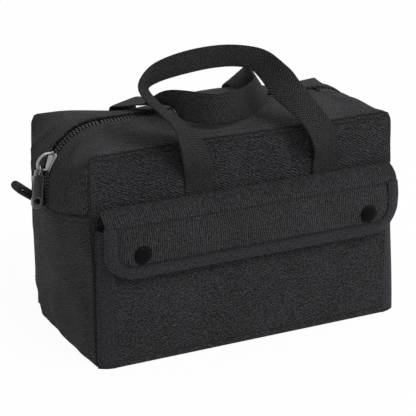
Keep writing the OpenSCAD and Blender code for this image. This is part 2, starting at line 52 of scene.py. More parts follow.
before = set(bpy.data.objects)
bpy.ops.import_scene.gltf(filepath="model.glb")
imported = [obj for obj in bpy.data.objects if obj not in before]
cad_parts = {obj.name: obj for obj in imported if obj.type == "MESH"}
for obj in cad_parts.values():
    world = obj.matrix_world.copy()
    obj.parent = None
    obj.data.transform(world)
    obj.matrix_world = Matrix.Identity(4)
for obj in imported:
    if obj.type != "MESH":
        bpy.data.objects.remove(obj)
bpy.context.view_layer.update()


# Sizes and colours

def length(name, description, default):
    return bpy.props.FloatProperty(name=name, description=description, default=default, min=0.0, unit="LENGTH")


def colour(name, description, default):
    return bpy.props.FloatVectorProperty(
        name=name, description=description, default=default, size=3, subtype="COLOR", min=0.0, max=1.0)


class BagSizes(bpy.types.PropertyGroup):
    body_l: length("Body length", "Length between the end seams", 0.280)
    base_d: length("Base depth", "Depth at the base", 0.142)
    top_d: length("Top depth", "Depth at the top edges", 0.127)
    body_h: length("Body height", "Height of the front and back panels", 0.1785)
    crown: length("Crown", "Height of the zip above the panels", 0.0075)
    end_bulge: length("End bulge", "Swell of each end beyond its seams", 0.0125)
    corner_r: length("Corner radius", "Radius of the panels' top corners", 0.006)
    zip_r: length("Zip radius", "Radius of the zip's end curves", 0.050)
    seam_z: length("End seam height", "Height of the end seam at the panels", 0.130)
    seam_drop: length("End seam drop", "Drop of the end seam towards the zip", 0.010)
    mouth: length("Mouth", "Half the length of the top that opens", 0.1005)
    reveal: length("Zip reveal", "Distance of the canvas from the zip's middle", 0.0076)
    cloth_t: length("Canvas thickness", "Thickness of the doubled canvas", 0.0018)
    slider_out: length("Slider height", "Height of the slider's face above the zip's middle line", 0.00342)
    slider_angle: bpy.props.FloatProperty(
        name="Slider angle", description="Angle of the slider above the middle of the zip's end curve",
        default=math.radians(25), subtype="ANGLE")


class PocketSizes(bpy.types.PropertyGroup):
    width: length("Pocket width", "Width of the pocket's face", 0.254)
    height: length("Pocket height", "Height of the pocket's face", 0.118)
    stand: length("Pocket stand", "How far the face stands in front of the base", 0.0095)
    side: length("Side tape", "Width of the slanting side tapes along the front", 0.0105)
    flap_w: length("Flap width", "Width of the flap", 0.270)
    flap_z: length("Fold height", "Height of the flap's fold", 0.135)
    flap_h: length("Flap length", "Length of the flap from its fold", 0.055)
    flap_t: length("Flap thickness", "Thickness of the flap", 0.0024)
    flap_stand: length("Flap stand", "How far the flap stands in front of its fold", 0.017)
    flap_r: length("Flap corner", "Radius of the flap's lower corners", 0.022)
    binding_w: length("Binding width", "Width of the flap's binding", 0.011)
    tuck: length("Tuck", "Distance of the stitched tuck from the fold", 0.0135)
    snap_x: length("Snap distance", "Distance of each snap from the middle", 0.105)
    snap_z: length("Snap height", "Height of the snaps", 0.099)
    snap_d: length("Snap diameter", "Diameter of the snap caps", 0.015)


class WebbingSizes(bpy.types.PropertyGroup):
    width: length("Webbing width", "Width of the webbing", 0.0254)
    thick: length("Webbing thickness", "Thickness of the webbing", 0.002)
    leg_gap: length("Leg distance", "Distance between the legs of a handle", 0.119)
    leg_mid: length("Leg middle", "Middle of the legs from the bag's middle", 0.0145)
    leg_z: length("Leg height", "Height at which the handles leave the panels", 0.141)
    front_stand: length("Front stand", "Height of the front grip above the bag", 0.0595)
    back_stand: length("Back stand", "Height of the back handle above the bag", 0.022)
    sewn_l: length("Sewn length", "Length sewn to the panel below each leg", 0.040)
    tab_l: length("Tab length", "Length of a pull tab", 0.028)
    tab_w: length("Tab width", "Width of a pull tab", 0.017)
    tab_t: length("Tab thickness", "Thickness of a pull tab at its tip", 0.0076)
    tab_angle: bpy.props.FloatProperty(
        name="Tab angle", description="Angle at which the pull tabs point up",
        default=math.radians(38), subtype="ANGLE")


class BagColours(bpy.types.PropertyGroup):
    canvas: colour("Canvas", "Colour of the canvas", (0.0190, 0.0190, 0.0212))
    webbing: colour("Webbing", "Colour of the webbing", (0.0140, 0.0140, 0.0155))
    tape: colour("Tape", "Colour of the binding and the side tapes", (0.0185, 0.0180, 0.0225))
    lining: colour("Lining", "Colour of the inside", (0.045, 0.045, 0.048))
    zip_black: colour("Zip", "Colour of the zip's tape and teeth", (0.0035, 0.0035, 0.0040))
    metal: colour("Metal", "Colour of the slider and the puller", (0.25, 0.25, 0.253))
    snap: colour("Snap", "Colour of the snap caps", (0.0022, 0.0022, 0.0024))
    floor: colour("Floor", "Colour of the floor", (0.9, 0.9, 0.9))


# Measures of the thread and the weave, in millimetres, and of the puller's rim, in metres

STITCH_PITCH = 2.6
STITCH_LENGTH = 0.62  # share of the pitch
THREAD_WIDTH = 0.84
FURROW_REACH = 1.25
HALF_WEBBING = 12.7
SELVEDGE = 11.6
EYE_RIM = 0.0044


# Shader maths

class Wire:
    """A socket of a material's nodes, with arithmetic."""

    def __init__(self, cloth, socket):
        self.cloth = cloth
        self.socket = socket

    def maths(self, operation, *others):
        return self.cloth.node("ShaderNodeMath", {"operation": operation}, self, *others)

    def __add__(self, other): return self.maths("ADD", other)
    __radd__ = __add__
    def __mul__(self, other): return self.maths("MULTIPLY", other)
    __rmul__ = __mul__
    def __sub__(self, other): return self.maths("SUBTRACT", other)
    def __rsub__(self, other): return self.cloth.node("ShaderNodeMath", {"operation": "SUBTRACT"}, other, self)
    def __truediv__(self, other): return self.maths("DIVIDE", other)
    def __lt__(self, other): return self.maths("LESS_THAN", other)
    def __gt__(self, other): return self.maths("GREATER_THAN", other)
    def sine(self): return self.maths("SINE")
    def size(self): return self.maths("ABSOLUTE")
    def part(self, whole): return self.maths("FLOORED_MODULO", whole)
    def most(self, other): return self.maths("MAXIMUM", other)
    def clamp(self): return self.cloth.node("ShaderNodeClamp", {}, self)


class Finish:
    """A material that is built up from nodes."""

    def __init__(self, name, rough=0.9, metallic=0.0, sheen=0.0, specular=0.5):
        self.material = bpy.data.materials.new(name)
        self.material.use_nodes = True
        self.tree = self.material.node_tree
        self.shader = self.tree.nodes["Principled BSDF"]
        for key, value in (("Roughness", rough), ("Metallic", metallic), ("Sheen Weight", sheen),
                           ("Specular IOR Level", specular)):
            self.shader.inputs[key].default_value = value

    def node(self, kind, settings, *values, out=0, **named):
        """A new node with its settings, the values of its first inputs and those of its named inputs."""
        made = self.tree.nodes.new(kind)
        for key, value in settings.items():
            setattr(made, key, value)
        for index, value in enumerate(values):
            self.join(value, made.inputs[index])
        for key, value in named.items():
            self.join(value, made.inputs[key])
        return Wire(self, made.outputs[out])

    def join(self, value, socket):
        if isinstance(value, Wire):
            self.tree.links.new(value.socket, socket)
        else:
            socket.default_value = value

    def uv(self):
        """Places along and across a piece of cloth, in millimetres."""
        place = self.node("ShaderNodeUVMap", {"uv_map": "cloth"})
        split = self.node("ShaderNodeSeparateXYZ", {}, place)
        return place, split, Wire(self, split.socket.node.outputs[1])

    def place(self):
        return self.node("ShaderNodeTexCoord", {}, out=3)

    def noise(self, place, scale, detail=3.0, rough=0.5):
        return self.node("ShaderNodeTexNoise", {}, place, Scale=scale, Detail=detail, Roughness=rough)

    def blend(self, amount, first, second):
        made = self.tree.nodes.new("ShaderNodeMix")
        made.data_type = "RGBA"
        self.join(amount, made.inputs[0])
        for value, index in ((first, 6), (second, 7)):
            self.join(value if isinstance(value, Wire) else (*value, 1.0), made.inputs[index])
        return Wire(self, made.outputs[2])

    def finish(self, colour, rough=None, height=None, distance=0.0003):
        self.join(colour, self.shader.inputs["Base Color"])
        if rough is not None:
            self.join(rough, self.shader.inputs["Roughness"])
        if height is not None:
            bump = self.node("ShaderNodeBump", {}, Strength=1.0, Distance=distance, Height=height)
            self.join(bump, self.shader.inputs["Normal"])
        return self.material


def shade(tone, amount):
    return tuple(min(1.0, channel * amount) for channel in tone)


def wave(turns, length):
    """A ripple of the given length, in millimetres."""
    return (turns * (2 * math.pi / length)).sine()


def sewn(finish, base, height, place, rows, tone, pit, yarn):
    """Rows of thread dashes in the furrows that they pull, with painted shade in the furrows. pit and yarn give
    cover, tone and relief.
    """
    for way, at, low, high in rows:
        run, across = place if way == "u" else place[::-1]
        away = (across - at).size()
        inside = (run > low) * (run < high)
        dash = ((run / STITCH_PITCH).part(1.0) - 0.5).size() < STITCH_LENGTH / 2
        thread = (away < THREAD_WIDTH / 2) * dash * inside
        shaded_furrow = (1.0 - (away / FURROW_REACH).clamp()) * inside
        for mark, (cover, level, relief) in ((shaded_furrow, pit), (thread, yarn)):
            # Painted shade darkens the furrow; the thread keeps its own paler colour.
            base = finish.blend(mark * cover, base, shade(tone, level))
            height = height + mark * relief
    return base, height


def canvas_finish(name, tone, rows=(), shaded_folds=(), wear=1.0, ribs=(0.35, 0.94, 2.2, 0.16), grain=2.0,
                  mottle=0.7, slubs=1.5):
    """Heavy canvas: ribbed weave with slubs, mottled dye, pale wear, rows of stitches with painted shade in their
    furrows, and painted shade along the seam gaps.

    ribs gives the ribs' direction along u and v, their pitch in millimetres and their depth.
    """
    finish = Finish(name, rough=0.95, sheen=0.04, specular=0.18)
    place, u, v = finish.uv()
    along, across, pitch, depth = ribs

    def yarns(wide, high):
        way = finish.node("ShaderNodeMapping", {}, place, Scale=(wide, high, 1.0))
        return finish.noise(way, 1.0, 3.0, 0.62) - 0.5

    warp, weft = yarns(0.95, 0.12), yarns(0.12, 0.95)
    fleck = finish.noise(place, 0.62, 2.0, 0.8) - 0.5
    wander = finish.noise(place, 0.10, 2.0, 0.5)
    rib = wave(u * along + v * across + wander * 4.0, pitch)
    cloud = finish.noise(finish.place(), 24.0, 4.0, 0.6) - 0.5
    slub = warp * (0.9 * abs(along) + 0.35) + weft * (0.9 * abs(across) + 0.35)
    tint = (0.5 + slub * slubs + fleck * grain * 2.5 + rib * depth * 1.3 + cloud * mottle).clamp()
    base = finish.blend(tint, shade(tone, 0.02), shade(tone, 2.3))
    rub = finish.noise(finish.place(), 70.0, 5.0, 0.7)
    worn = ((rub - 0.62) * (6.0 * wear)).clamp() * 0.3
    base = finish.blend(worn, base, shade(tone, 2.6))
    height = rib * (1.0 + 2.0 * depth) + fleck * 3.2 + slub * 1.0
    # Painted shade: a dark line in the gap along each seam or folded edge, with a dent in the bump.
    for way, at in shaded_folds:
        shaded_gap = 1.0 - (((v if way == "u" else u) - at).size() / 0.8).clamp()
        base = finish.blend(shaded_gap * 0.9, base, shade(tone, 0.06))
        height = height - shaded_gap * 3.0
    # The first tuple gives the furrows' painted shade, the second the thread's own colour.
    base, height = sewn(finish, base, height, (u, v), rows, tone, (0.8, 0.10, -2.4), (0.6, 1.4, 1.6))
    return finish.finish(base, height=height, distance=0.00045)


def webbing_finish(name, tone, band=HALF_WEBBING, rib=2.6):
    """Cotton webbing: a slanting twill of short floats that turns back at the middle of its width."""
    finish = Finish(name, rough=0.92, sheen=0.04, specular=0.2)
    place, u, v = finish.uv()
    slant = ((v / band).part(2.0) - 1.0).size() * band
    twill = wave(u + slant * 0.8, rib)
    floats = wave(u * 0.35 - slant, 2.3)
    fleck = finish.noise(place, 0.6, 2.0, 0.7) - 0.5
    cloud = finish.noise(finish.place(), 30.0, 2.0, 0.5) - 0.5
    tint = (0.36 + twill * 0.44 + twill * floats * 0.5 + fleck * 3.0 + cloud * 0.8).clamp()
    base = finish.blend(tint, shade(tone, 0.02), shade(tone, 2.8))
    side = ((v - HALF_WEBBING).size() - SELVEDGE).clamp()
    base = finish.blend(side * 0.6, base, shade(tone, 0.35))
    height = twill * 1.0 + twill * floats * 1.2 + fleck * 1.4
    return finish.finish(base, height=height, distance=0.0008)


def tape_finish(name, tone, rows=(), shaded_folds=()):
    """Twill tape with a fine slanting rib, rows of stitches with painted shade in their furrows, and painted shade
    in the gap along its folded edge.
    """
    finish = Finish(name, rough=0.9, sheen=0.04, specular=0.2)
    place, u, v = finish.uv()
    twill = wave(u * 0.8 + v, 2.1)
    fleck = finish.noise(place, 0.6, 3.0, 0.7) - 0.5
    tint = (0.5 + twill * 0.20 + fleck * 3.2).clamp()
    base = finish.blend(tint, shade(tone, 0.1), shade(tone, 1.9))
    # Painted shade: a dark line in the gap along each folded edge.
    for at in shaded_folds:
        base = finish.blend((1.0 - ((v - at).size() / 0.9).clamp()) * 0.85, base, shade(tone, 0.08))
    height = twill * 0.5 + fleck * 1.2
    # The first tuple gives the furrows' painted shade, the second the thread's own colour.
    base, height = sewn(finish, base, height, (u, v), rows, tone, (0.75, 0.15, -1.8), (0.75, 1.9, 1.2))
    return finish.finish(base, height=height, distance=0.0004)


def zip_finish(name, tone):
    """Black woven tape with fine ribs along it."""
    finish = Finish(name, rough=0.72, specular=0.3)
    place, u, v = finish.uv()
    rib = wave(v, 1.1)
    fleck = finish.noise(place, 1.4, 2.0, 0.6)
    base = finish.blend((fleck * 0.7 + rib * 0.2).clamp(), shade(tone, 0.6), shade(tone, 2.2))
    return finish.finish(base, height=rib * 0.7 + fleck * 0.3, distance=0.0002)


def moulded_finish(name, tone, rough, specular):
    """Smooth black plastic with a faint speckle."""
    finish = Finish(name, rough=rough, specular=specular)
    speck = finish.noise(finish.place(), 900.0, 2.0, 0.5)
    base = finish.blend(speck, shade(tone, 0.8), shade(tone, 1.4))
    return finish.finish(base, rough=(rough - 0.06) + speck * 0.12)


def metal_finish(name, tone, eye=None):
    """Bright cast metal with a little haze and fine scratches, dull where it is recessed.

    eye is the middle of the puller's hole, which has a bright rim.
    """
    finish = Finish(name, rough=0.28, metallic=1.0)
    haze = finish.noise(finish.place(), 260.0, 4.0, 0.6)
    streak = finish.node("ShaderNodeMapping", {}, finish.place(), Scale=(3000.0, 3000.0, 160.0))
    scratch = finish.noise(streak, 1.0, 2.0, 0.5)
    base = finish.blend((haze * 0.6 + scratch * 0.3).clamp(), shade(tone, 0.7), shade(tone, 1.3))
    if eye:
        away = finish.node("ShaderNodeVectorMath", {"operation": "DISTANCE"}, finish.place(), eye, out=1)
        web = finish.uv()[1] * (away > EYE_RIM)
        base = finish.blend(web, base, finish.blend(haze, shade(tone, 0.2), shade(tone, 0.6)))
    return finish.finish(base, rough=0.2 + haze * 0.16 + scratch * 0.08, height=haze * 0.4 + scratch * 0.2,
                         distance=0.00004)


# Shapes that the bag's pieces share. Lifts are in millimetres until they are returned

MM = 0.001
SEAM_PULL = 0.8
SEAM_REACH = 2.6
HEM = 0.5
CHAIN_DEPTH = 0.0029  # of the zip's middle line below the crown
ACROSS = Vector((0, 1, 0))


def sizes():
    return bpy.context.scene.bag_sizes


def pocket_sizes():
    return bpy.context.scene.pocket_sizes


def tone_of(name):
    return tuple(getattr(bpy.context.scene.bag_colours, name))


def wall_y(z):
    s = sizes()
    return s.base_d / 2 - z * (s.base_d - s.top_d) / 2 / s.body_h


def inside_y(z):
    return wall_y(z) - 0.0014


def swell(u):
    return 1 - u * u


def end_a(u):
    return sizes().body_l / 2 + sizes().end_bulge * swell(u)


def top_h(u):
    return sizes().body_h + sizes().crown * swell(u)


def arc_r(u):
    return sizes().corner_r + (sizes().zip_r - sizes().corner_r) * swell(u)


def seam_z(u):
    return sizes().seam_z - sizes().seam_drop * swell(u)


def ease(value):
    value = min(1.0, max(0.0, value))
    return value * value * (3 - 2 * value)


def hump(value, middle, reach):
    """1 at the middle, falling smoothly to 0 at the reach."""
    return ease(1 - abs(value - middle) / reach)


def sag(p):
    """How far the slack back edge of the top hangs down."""
    back = ease((p[1] - 0.004) / 0.052) * ease((p[2] - 0.115) / 0.06)
    return back * (0.0078 * hump(p[0], -0.050, 0.070) + 0.0042 * hump(p[0], 0.105, 0.075))


def slump(p):
    """How far the back handle lies lower with the slack edge under it."""
    back = ease((p[1] - 0.004) / 0.052) * ease((p[2] - 0.115) / 0.06)
    return back * 0.0058 * ease(-p[0] / 0.02)


SWAY_SEED = 11
noise.seed_set(SWAY_SEED)  # without it the sway's offsets come from the clock


def relax(p):
    """The slow, uneven hang that every sheet of the body shares, so that its seams stay closed."""
    q = Vector(p)
    low = ease(q.z / 0.03)
    sway = noise.noise_vector(q * 14.0 + Vector((3.1, 7.7, 1.9))) * 0.0016 * low
    q += Vector((sway.x, sway.y, sway.z * 0.25 - sag(q)))
    for x, y, pull, reach in ((-0.140, 0.071, 0.0085, 0.028), (0.140, 0.071, 0.006, 0.03),
                              (0.140, -0.071, 0.002, 0.02)):
        away = math.dist(q, (x, y, 0.0))
        if away < reach:
            part = pull * (1 - away / reach) ** 2
            q += Vector((-math.copysign(part, x), -math.copysign(part, y), part * 0.35))
    return q


def spline(points, t):
    """The place at t, from 0 to 1, between the second and the third of four points."""
    return [(2 * b + (c - a) * t + (2 * a - 5 * b + 4 * c - d) * t * t
             + (3 * b - a - 3 * c + d) * t ** 3) / 2 for a, b, c, d in zip(*points)]


def around_stretch(points, i):
    """The four points round the stretch after point i, with the ends repeated."""
    return points[max(i - 1, 0)], points[i], points[i + 1], points[min(i + 2, len(points) - 1)]


def lookup(table, key):
    """A smooth curve through a table of pairs."""
    if key <= table[0][0]:
        return table[0][1]
    if key >= table[-1][0]:
        return table[-1][1]
    for i in range(len(table) - 1):
        if key <= table[i + 1][0]:
            (x0, y0), (x1, y1), (x2, y2), (x3, y3) = around_stretch(table, i)
            t = (key - x1) / (x2 - x1)
            m1 = (y2 - y0) / (x2 - x0) * (x2 - x1)
            m2 = (y3 - y1) / (x3 - x1) * (x2 - x1)
            return ((2 * t ** 3 - 3 * t ** 2 + 1) * y1 + (t ** 3 - 2 * t ** 2 + t) * m1
                    + (3 * t ** 2 - 2 * t ** 3) * y2 + (t ** 3 - t ** 2) * m2)


def new_object(name, bm, material, smooth=True):
    mesh = bpy.data.meshes.new(name)
    bm.to_mesh(mesh)
    bm.free()
    for face in mesh.polygons:
        face.use_smooth = smooth
    mesh.materials.append(material)
    made = bpy.data.objects.new(name, mesh)
    bpy.context.scene.collection.objects.link(made)
    return made


def cloth_grid(along, across, place, measure, lift=None, out=1):
    """A flat grid bent to the cloth's surface. measure gives the cloth's own millimetres."""
    bm = bmesh.new()
    bmesh.ops.create_grid(bm, x_segments=along, y_segments=across, size=0.5)
    layer = bm.loops.layers.uv.new("cloth")
    for face in bm.faces:
        for loop in face.loops:
            loop[layer].uv = measure(loop.vert.co.x + 0.5, loop.vert.co.y + 0.5)
    step = 0.004  # share of the sheet over which its slope is taken
    for vert in bm.verts:
        a, b = vert.co.x + 0.5, vert.co.y + 0.5
        p = Vector(place(a, b))
        if lift is not None:
            slope_a = Vector(place(min(a + step, 1), b)) - Vector(place(max(a - step, 0), b))
            slope_b = Vector(place(a, min(b + step, 1))) - Vector(place(a, max(b - step, 0)))
            p += slope_a.cross(slope_b).normalized() * lift(a, b, p) * out
        vert.co = p
    return bm


def thicken(piece, thick):
    wall = piece.modifiers.new("Thickness", "SOLIDIFY")
    wall.thickness, wall.offset, wall.use_even_offset = thick, -1.0, False


def sheet(name, along, across, place, measure, material, thick, lift=None, flip=False):
    """One sheet of cloth with its thickness behind its face."""
    bm = cloth_grid(along, across, place, measure, lift, -1 if flip else 1)
    if flip:
        bmesh.ops.reverse_faces(bm, faces=bm.faces)
    for edge in bm.edges:
        edge.smooth = not edge.is_boundary
    made = new_object(name, bm, material)
    thicken(made, thick)
    return made


def loft(name, along, around, place, measure, material):
    """A tube swept from a grid whose two long sides are joined, with its ends closed."""
    bm = cloth_grid(along, around, place, measure)
    bmesh.ops.remove_doubles(bm, verts=bm.verts, dist=0.000002)
    bmesh.ops.holes_fill(bm, edges=bm.edges, sides=0)
    bmesh.ops.recalc_face_normals(bm, faces=bm.faces)
    return new_object(name, bm, material)


def mirrored(made, name):
    """A copy of a piece for the bag's other end, facing out."""
    mesh = made.data.copy()
    bm = bmesh.new()
    bm.from_mesh(mesh)
    bmesh.ops.scale(bm, vec=(-1, 1, 1), verts=bm.verts)
    bmesh.ops.reverse_faces(bm, faces=bm.faces)
    bm.to_mesh(mesh)
    bm.free()
    copy = bpy.data.objects.new(name, mesh)
    for wall in made.modifiers:
        thicken(copy, wall.thickness)
    bpy.context.scene.collection.objects.link(copy)
    return copy


def stand_for(piece, slot, *nodes):
    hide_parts(*nodes)


def belong(piece, body, slot, *nodes):
    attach(piece, body)
    stand_for(piece, slot, *nodes)


def join_top(piece, x, slot, node):
    """Bakes a piece of one end into its place and hides the frame's node that it stands for."""
    mouth = sizes().mouth
    x * (mouth + 0.022)
    x * (mouth + 0.001)
    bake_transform(piece)
    stand_for(piece, slot, node)


def flat(long, high, start=0.0):
    """Gives the cloth's own millimetres from the shares of its length and height."""
    return lambda a, b: (start + a * long, b * high)


def pull(distance, depth=SEAM_PULL):
    """How deep a seam pulls the cloth in, at a distance from it in millimetres."""
    return depth * (ease(distance / SEAM_REACH) - 1)


# The body's cloth

DENTS = ((1.6, 0.24, 0.10, 0.88, 0.13), (-2.4, 0.655, 0.05, 0.90, 0.12), (1.8, 0.60, 0.045, 0.88, 0.13),
         (-1.6, 0.49, 0.03, 0.86, 0.15))


def panel_lift(side):
    """The front or the back panel's belly, its dents under the handle's legs and its creases."""
    def lift(a, b, p):
        edge, rise = min(a, 1 - a) * 280, b * 178
        seams = pull(edge) * ease(rise / 9) + pull(178 - rise)
        belly = 2.2 * hump(a, 0.5, 0.62) * hump(b, 0.5, 0.62)
        for amount, x, reach_x, z, reach_z in DENTS if side < 0 else ():
            belly += amount * hump(a, x, reach_x) * hump(b, z, reach_z)
        crease = noise.noise(Vector((p.x * 30, p.z * 44, side * 5.0))) * 0.9
        return (seams + belly + crease) * MM
    return lift


def wall_sheet(name, side, material):
    s = sizes()

    def place(a, b):
        x = (a - 0.5) * s.body_l
        d = max(0.0, abs(x) - s.body_l / 2 + s.corner_r)
        top = s.body_h - s.corner_r + math.sqrt(max(0.0, s.corner_r ** 2 - d * d))
        z = b * top
        return relax((x, side * wall_y(z), z))

    return sheet(name, 110, 76, place, flat(280, 178), material, s.cloth_t, panel_lift(side), flip=side > 0)


def end_place(u, v):
    s = sizes()
    z = v * seam_z(u)
    low = 0.2 + 0.8 * math.sin(math.pi / 2 * min(1.0, z / (s.seam_z - s.seam_drop)))
    return relax((-(s.body_l / 2 + s.end_bulge * swell(u) * low), u * wall_y(z), z))


def end_lift(a, b, p):
    edge = min(a, 1 - a) * 140
    seams = pull(edge) * ease(b * 125 / 9) + pull((1 - b) * 125, 0.9)
    crease = noise.noise(Vector((p.y * 26, p.z * 30, 11.0))) * 2.0
    crease += noise.noise(Vector((p.y * 60, p.z * 50, 4.0))) * 0.7
    return (seams + crease * ease(edge / 20)) * MM


def gusset_place(a, b):
    """From the end seam up round the corner (a) and from the panel's seam to the zip (b)."""
    s = sizes()
    zip_u = s.reveal / inside_y(s.body_h)
    u = 1 - (1 - zip_u) * b
    r = arc_r(u)
    cx, cz = end_a(u) - r, top_h(u) - r
    if a < 0.15:
        x, z = end_a(u), seam_z(u) + (cz - seam_z(u)) * a / 0.15
    elif a < 0.8:
        turn = (a - 0.15) / 0.65 * math.pi / 2
        x, z = cx + r * math.cos(turn), cz + r * math.sin(turn)
    else:
        x, z = cx + (s.mouth - cx) * (a - 0.8) / 0.2, top_h(u)
    y = u * (wall_y(min(z, s.body_h)) - 0.0004)
    return relax((-x, -y, z))


def gusset_lift(a, b, p):
    seams = pull(b * 55) + pull(a * 150, 0.9)
    hem = HEM * ease((b - 0.86) / 0.03)
    body = ease(b * 3) * ease((1 - b) * 5) * ease((1 - a) * 4)
    crease = (noise.noise(Vector((p.x * 24, p.y * 34, p.z * 24))) * 2.2
              + noise.noise(Vector((p.x * 50, p.y * 60, p.z * 50 + 9))) * 0.8) * body
    fold = 1.6 * hump(b - 0.5 * a, 0.30, 0.07) * hump(a, 0.24, 0.2)
    fold += 1.2 * hump(b + 0.6 * a, 0.62, 0.06) * hump(a, 0.14, 0.14)
    fold -= 1.2 * hump(b - 0.3 * a, 0.52, 0.09) * hump(a, 0.42, 0.2)
    return (seams + hem + crease + fold) * MM


def band_place(a, b):
    s = sizes()
    zip_u = s.reveal / inside_y(s.body_h)
    u = 1 - (1 - zip_u) * b
    return relax(((a - 0.5) * 2 * s.mouth, -u * (wall_y(s.body_h) - 0.0004), top_h(u)))


def turned(p, x, y):
    """A point of the front's left part taken to another quarter of the bag, with the slack of the back edge."""
    q = Vector((p[0] * x, p[1] * y, p[2]))
    q.z -= sag(q) if y < 0 else 0.0
    return q


def band_lift(a, b, p):
    hem = HEM * ease((b - 0.86) / 0.03)
    body = ease(b * 3) * ease((1 - b) * 5) * ease(min(a, 1 - a) * 8)
    crease = noise.noise(Vector((p.x * 22, p.y * 34, 3.0))) * 1.3 * body
    return (pull(b * 55) + hem + crease) * MM


class TOOLBAG_OT_body(bpy.types.Operator):
    """Builds the base, the front, the back and the two ends"""
    bl_idname = "toolbag.body"
    bl_label = "Body panels"

    def execute(self, context):
        s, tone = sizes(), tone_of("canvas")
        front = canvas_finish("front canvas", tone, [("u", 174.0, 3, 277)],
                              [("u", 177.4), ("v", 0.7), ("v", 279.3)], ribs=(0.5, 0.87, 2.0, 0.2), grain=2.6)
        ends = canvas_finish("end canvas", tone, [("u", 120.5, 0, 142)], [("u", 124.2), ("v", 0.7), ("v", 141.3)],
                             ribs=(0.35, 0.94, 2.3, 0.03), grain=2.0, mottle=1.5, wear=1.8, slubs=0.2)
        plain = canvas_finish("base canvas", tone)
        belong(wall_sheet("front_cloth", -1, front), "root", "canvas", "front_panel")
        belong(wall_sheet("back_cloth", 1, front), "root", "canvas", "back_panel")
        for end, x in (("left", 1), ("right", -1)):
            def place(a, b):
                p = end_place(a * 2 - 1, b)
                return p.x * x, p.y, p.z

            made = sheet(f"{end}_end_cloth", 56, 56, place, flat(142, 125), ends, s.cloth_t, end_lift, flip=x > 0)
            belong(made, "root", "canvas", f"{end}_end_panel")

        def base(a, b):
            p = relax(((a - 0.5) * s.body_l, (b - 0.5) * s.base_d, 0.0))
            return p.x, p.y, max(0.0, p.z)

        bottom = sheet("base_cloth", 60, 30, base, flat(280, 142), plain, s.cloth_t, flip=True)
        belong(bottom, "root", "canvas", "bottom_panel")
        return {"FINISHED"}


class TOOLBAG_OT_top(bpy.types.Operator):
    """Builds the domed top: two halves that open and the gussets at their ends"""
    bl_idname = "toolbag.top"
    bl_label = "Domed top"

    def execute(self, context):
        thick = sizes().cloth_t
        cloth = canvas_finish("top canvas", tone_of("canvas"), [("u", 52.0, 0, 400)], [("u", 0.6), ("v", 0.6)],
                              ribs=(0.35, 0.94, 2.3, 0.02), grain=2.1, mottle=1.5, wear=2.0, slubs=0.2)
        for end, x in (("left", 1), ("right", -1)):
            for side, y in (("front", 1), ("back", -1)):
                made = sheet(f"{end}_{side}_gusset_cloth", 64, 40, lambda a, b: turned(gusset_place(a, b), x, y),
                             flat(150, 55), cloth, thick, gusset_lift, flip=x * y < 0)
                join_top(made, -x, "canvas", f"{end}_gusset_{side}")
        for side, y in (("front", 1), ("back", -1)):
            made = sheet(f"{side}_top_cloth", 70, 36, lambda a, b: turned(band_place(a, b), 1, y),
                         flat(201, 55, 160), cloth, thick, band_lift, flip=y < 0)
            belong(made, f"top_{side}", "canvas", f"top_band_{side}")
        return {"FINISHED"}


# The zip

def zip_shape():
    """Middle of the zip's left end curve, and the height of its straight run up from the end seam."""
    s = sizes()
    ax, az = s.body_l / 2 + s.end_bulge - s.zip_r, s.body_h + s.crown - s.zip_r
    return ax, az, az - (s.seam_z - s.seam_drop) - 0.0004


def zip_point(run, across, out):
    """A point on the zip: run from the left end seam to the mouth, across from its middle."""
    ax, az, rise = zip_shape()
    r = sizes().zip_r - CHAIN_DEPTH + out
    bend = r * math.pi / 2
    if run < rise:
        p = (-ax - r, across, az - rise + run)
    elif run < rise + bend:
        turn = (run - rise) / r
        p = (-ax - r * math.cos(turn), across, az + r * math.sin(turn))
    else:
        p = (-ax + run - rise - bend, across, az + r)
    return relax(p)


def zip_length(to):
    ax, _, rise = zip_shape()
    return rise + (sizes().zip_r - CHAIN_DEPTH) * math.pi / 2 + ax + to


def zip_tape(name, low, high, side, material):
    middle, half, rise = 6.8, 4.2, 0.3

    def across(b):
        return middle + half * math.cos(b * 2 * math.pi)

    def place(a, b):
        out = rise * math.sin(b * 2 * math.pi)
        return zip_point(low + (high - low) * a, side * across(b) * MM, out * MM)

    return loft(name, max(8, int((high - low) / 0.004)), 8, place,
                lambda a, b: ((low + (high - low) * a) / MM, across(b)), material)


def zip_teeth(name, low, high, side, material, pitch=0.0030):
    bm = bmesh.new()
    first = 0.5 if side > 0 else 0.25
    for i in range(int((high - low) / pitch)):
        before, spot, after = (zip_point(low + (i + first) * pitch + step, side * 0.0022, 0.0008)
                               for step in (-0.0005, 0, 0.0005))
        ahead = (after - before).normalized()
        out = ahead.cross(ACROSS)
        tooth = bmesh.ops.create_cube(bm, size=1.0)["verts"]
        edges = list({e for v in tooth for e in v.link_edges})
        bmesh.ops.scale(bm, vec=(0.0019, 0.0032, 0.0027), verts=tooth)
        tooth = list({v for f in bmesh.ops.bevel(
            bm, geom=edges, offset=0.00035, segments=1, profile=0.5, affect="EDGES", material=-1)["faces"]
            for v in f.verts})
        for v in tooth:
            v.co = spot + ahead * v.co.x + ACROSS * v.co.y + out * v.co.z
    return new_object(name, bm, material, smooth=False)


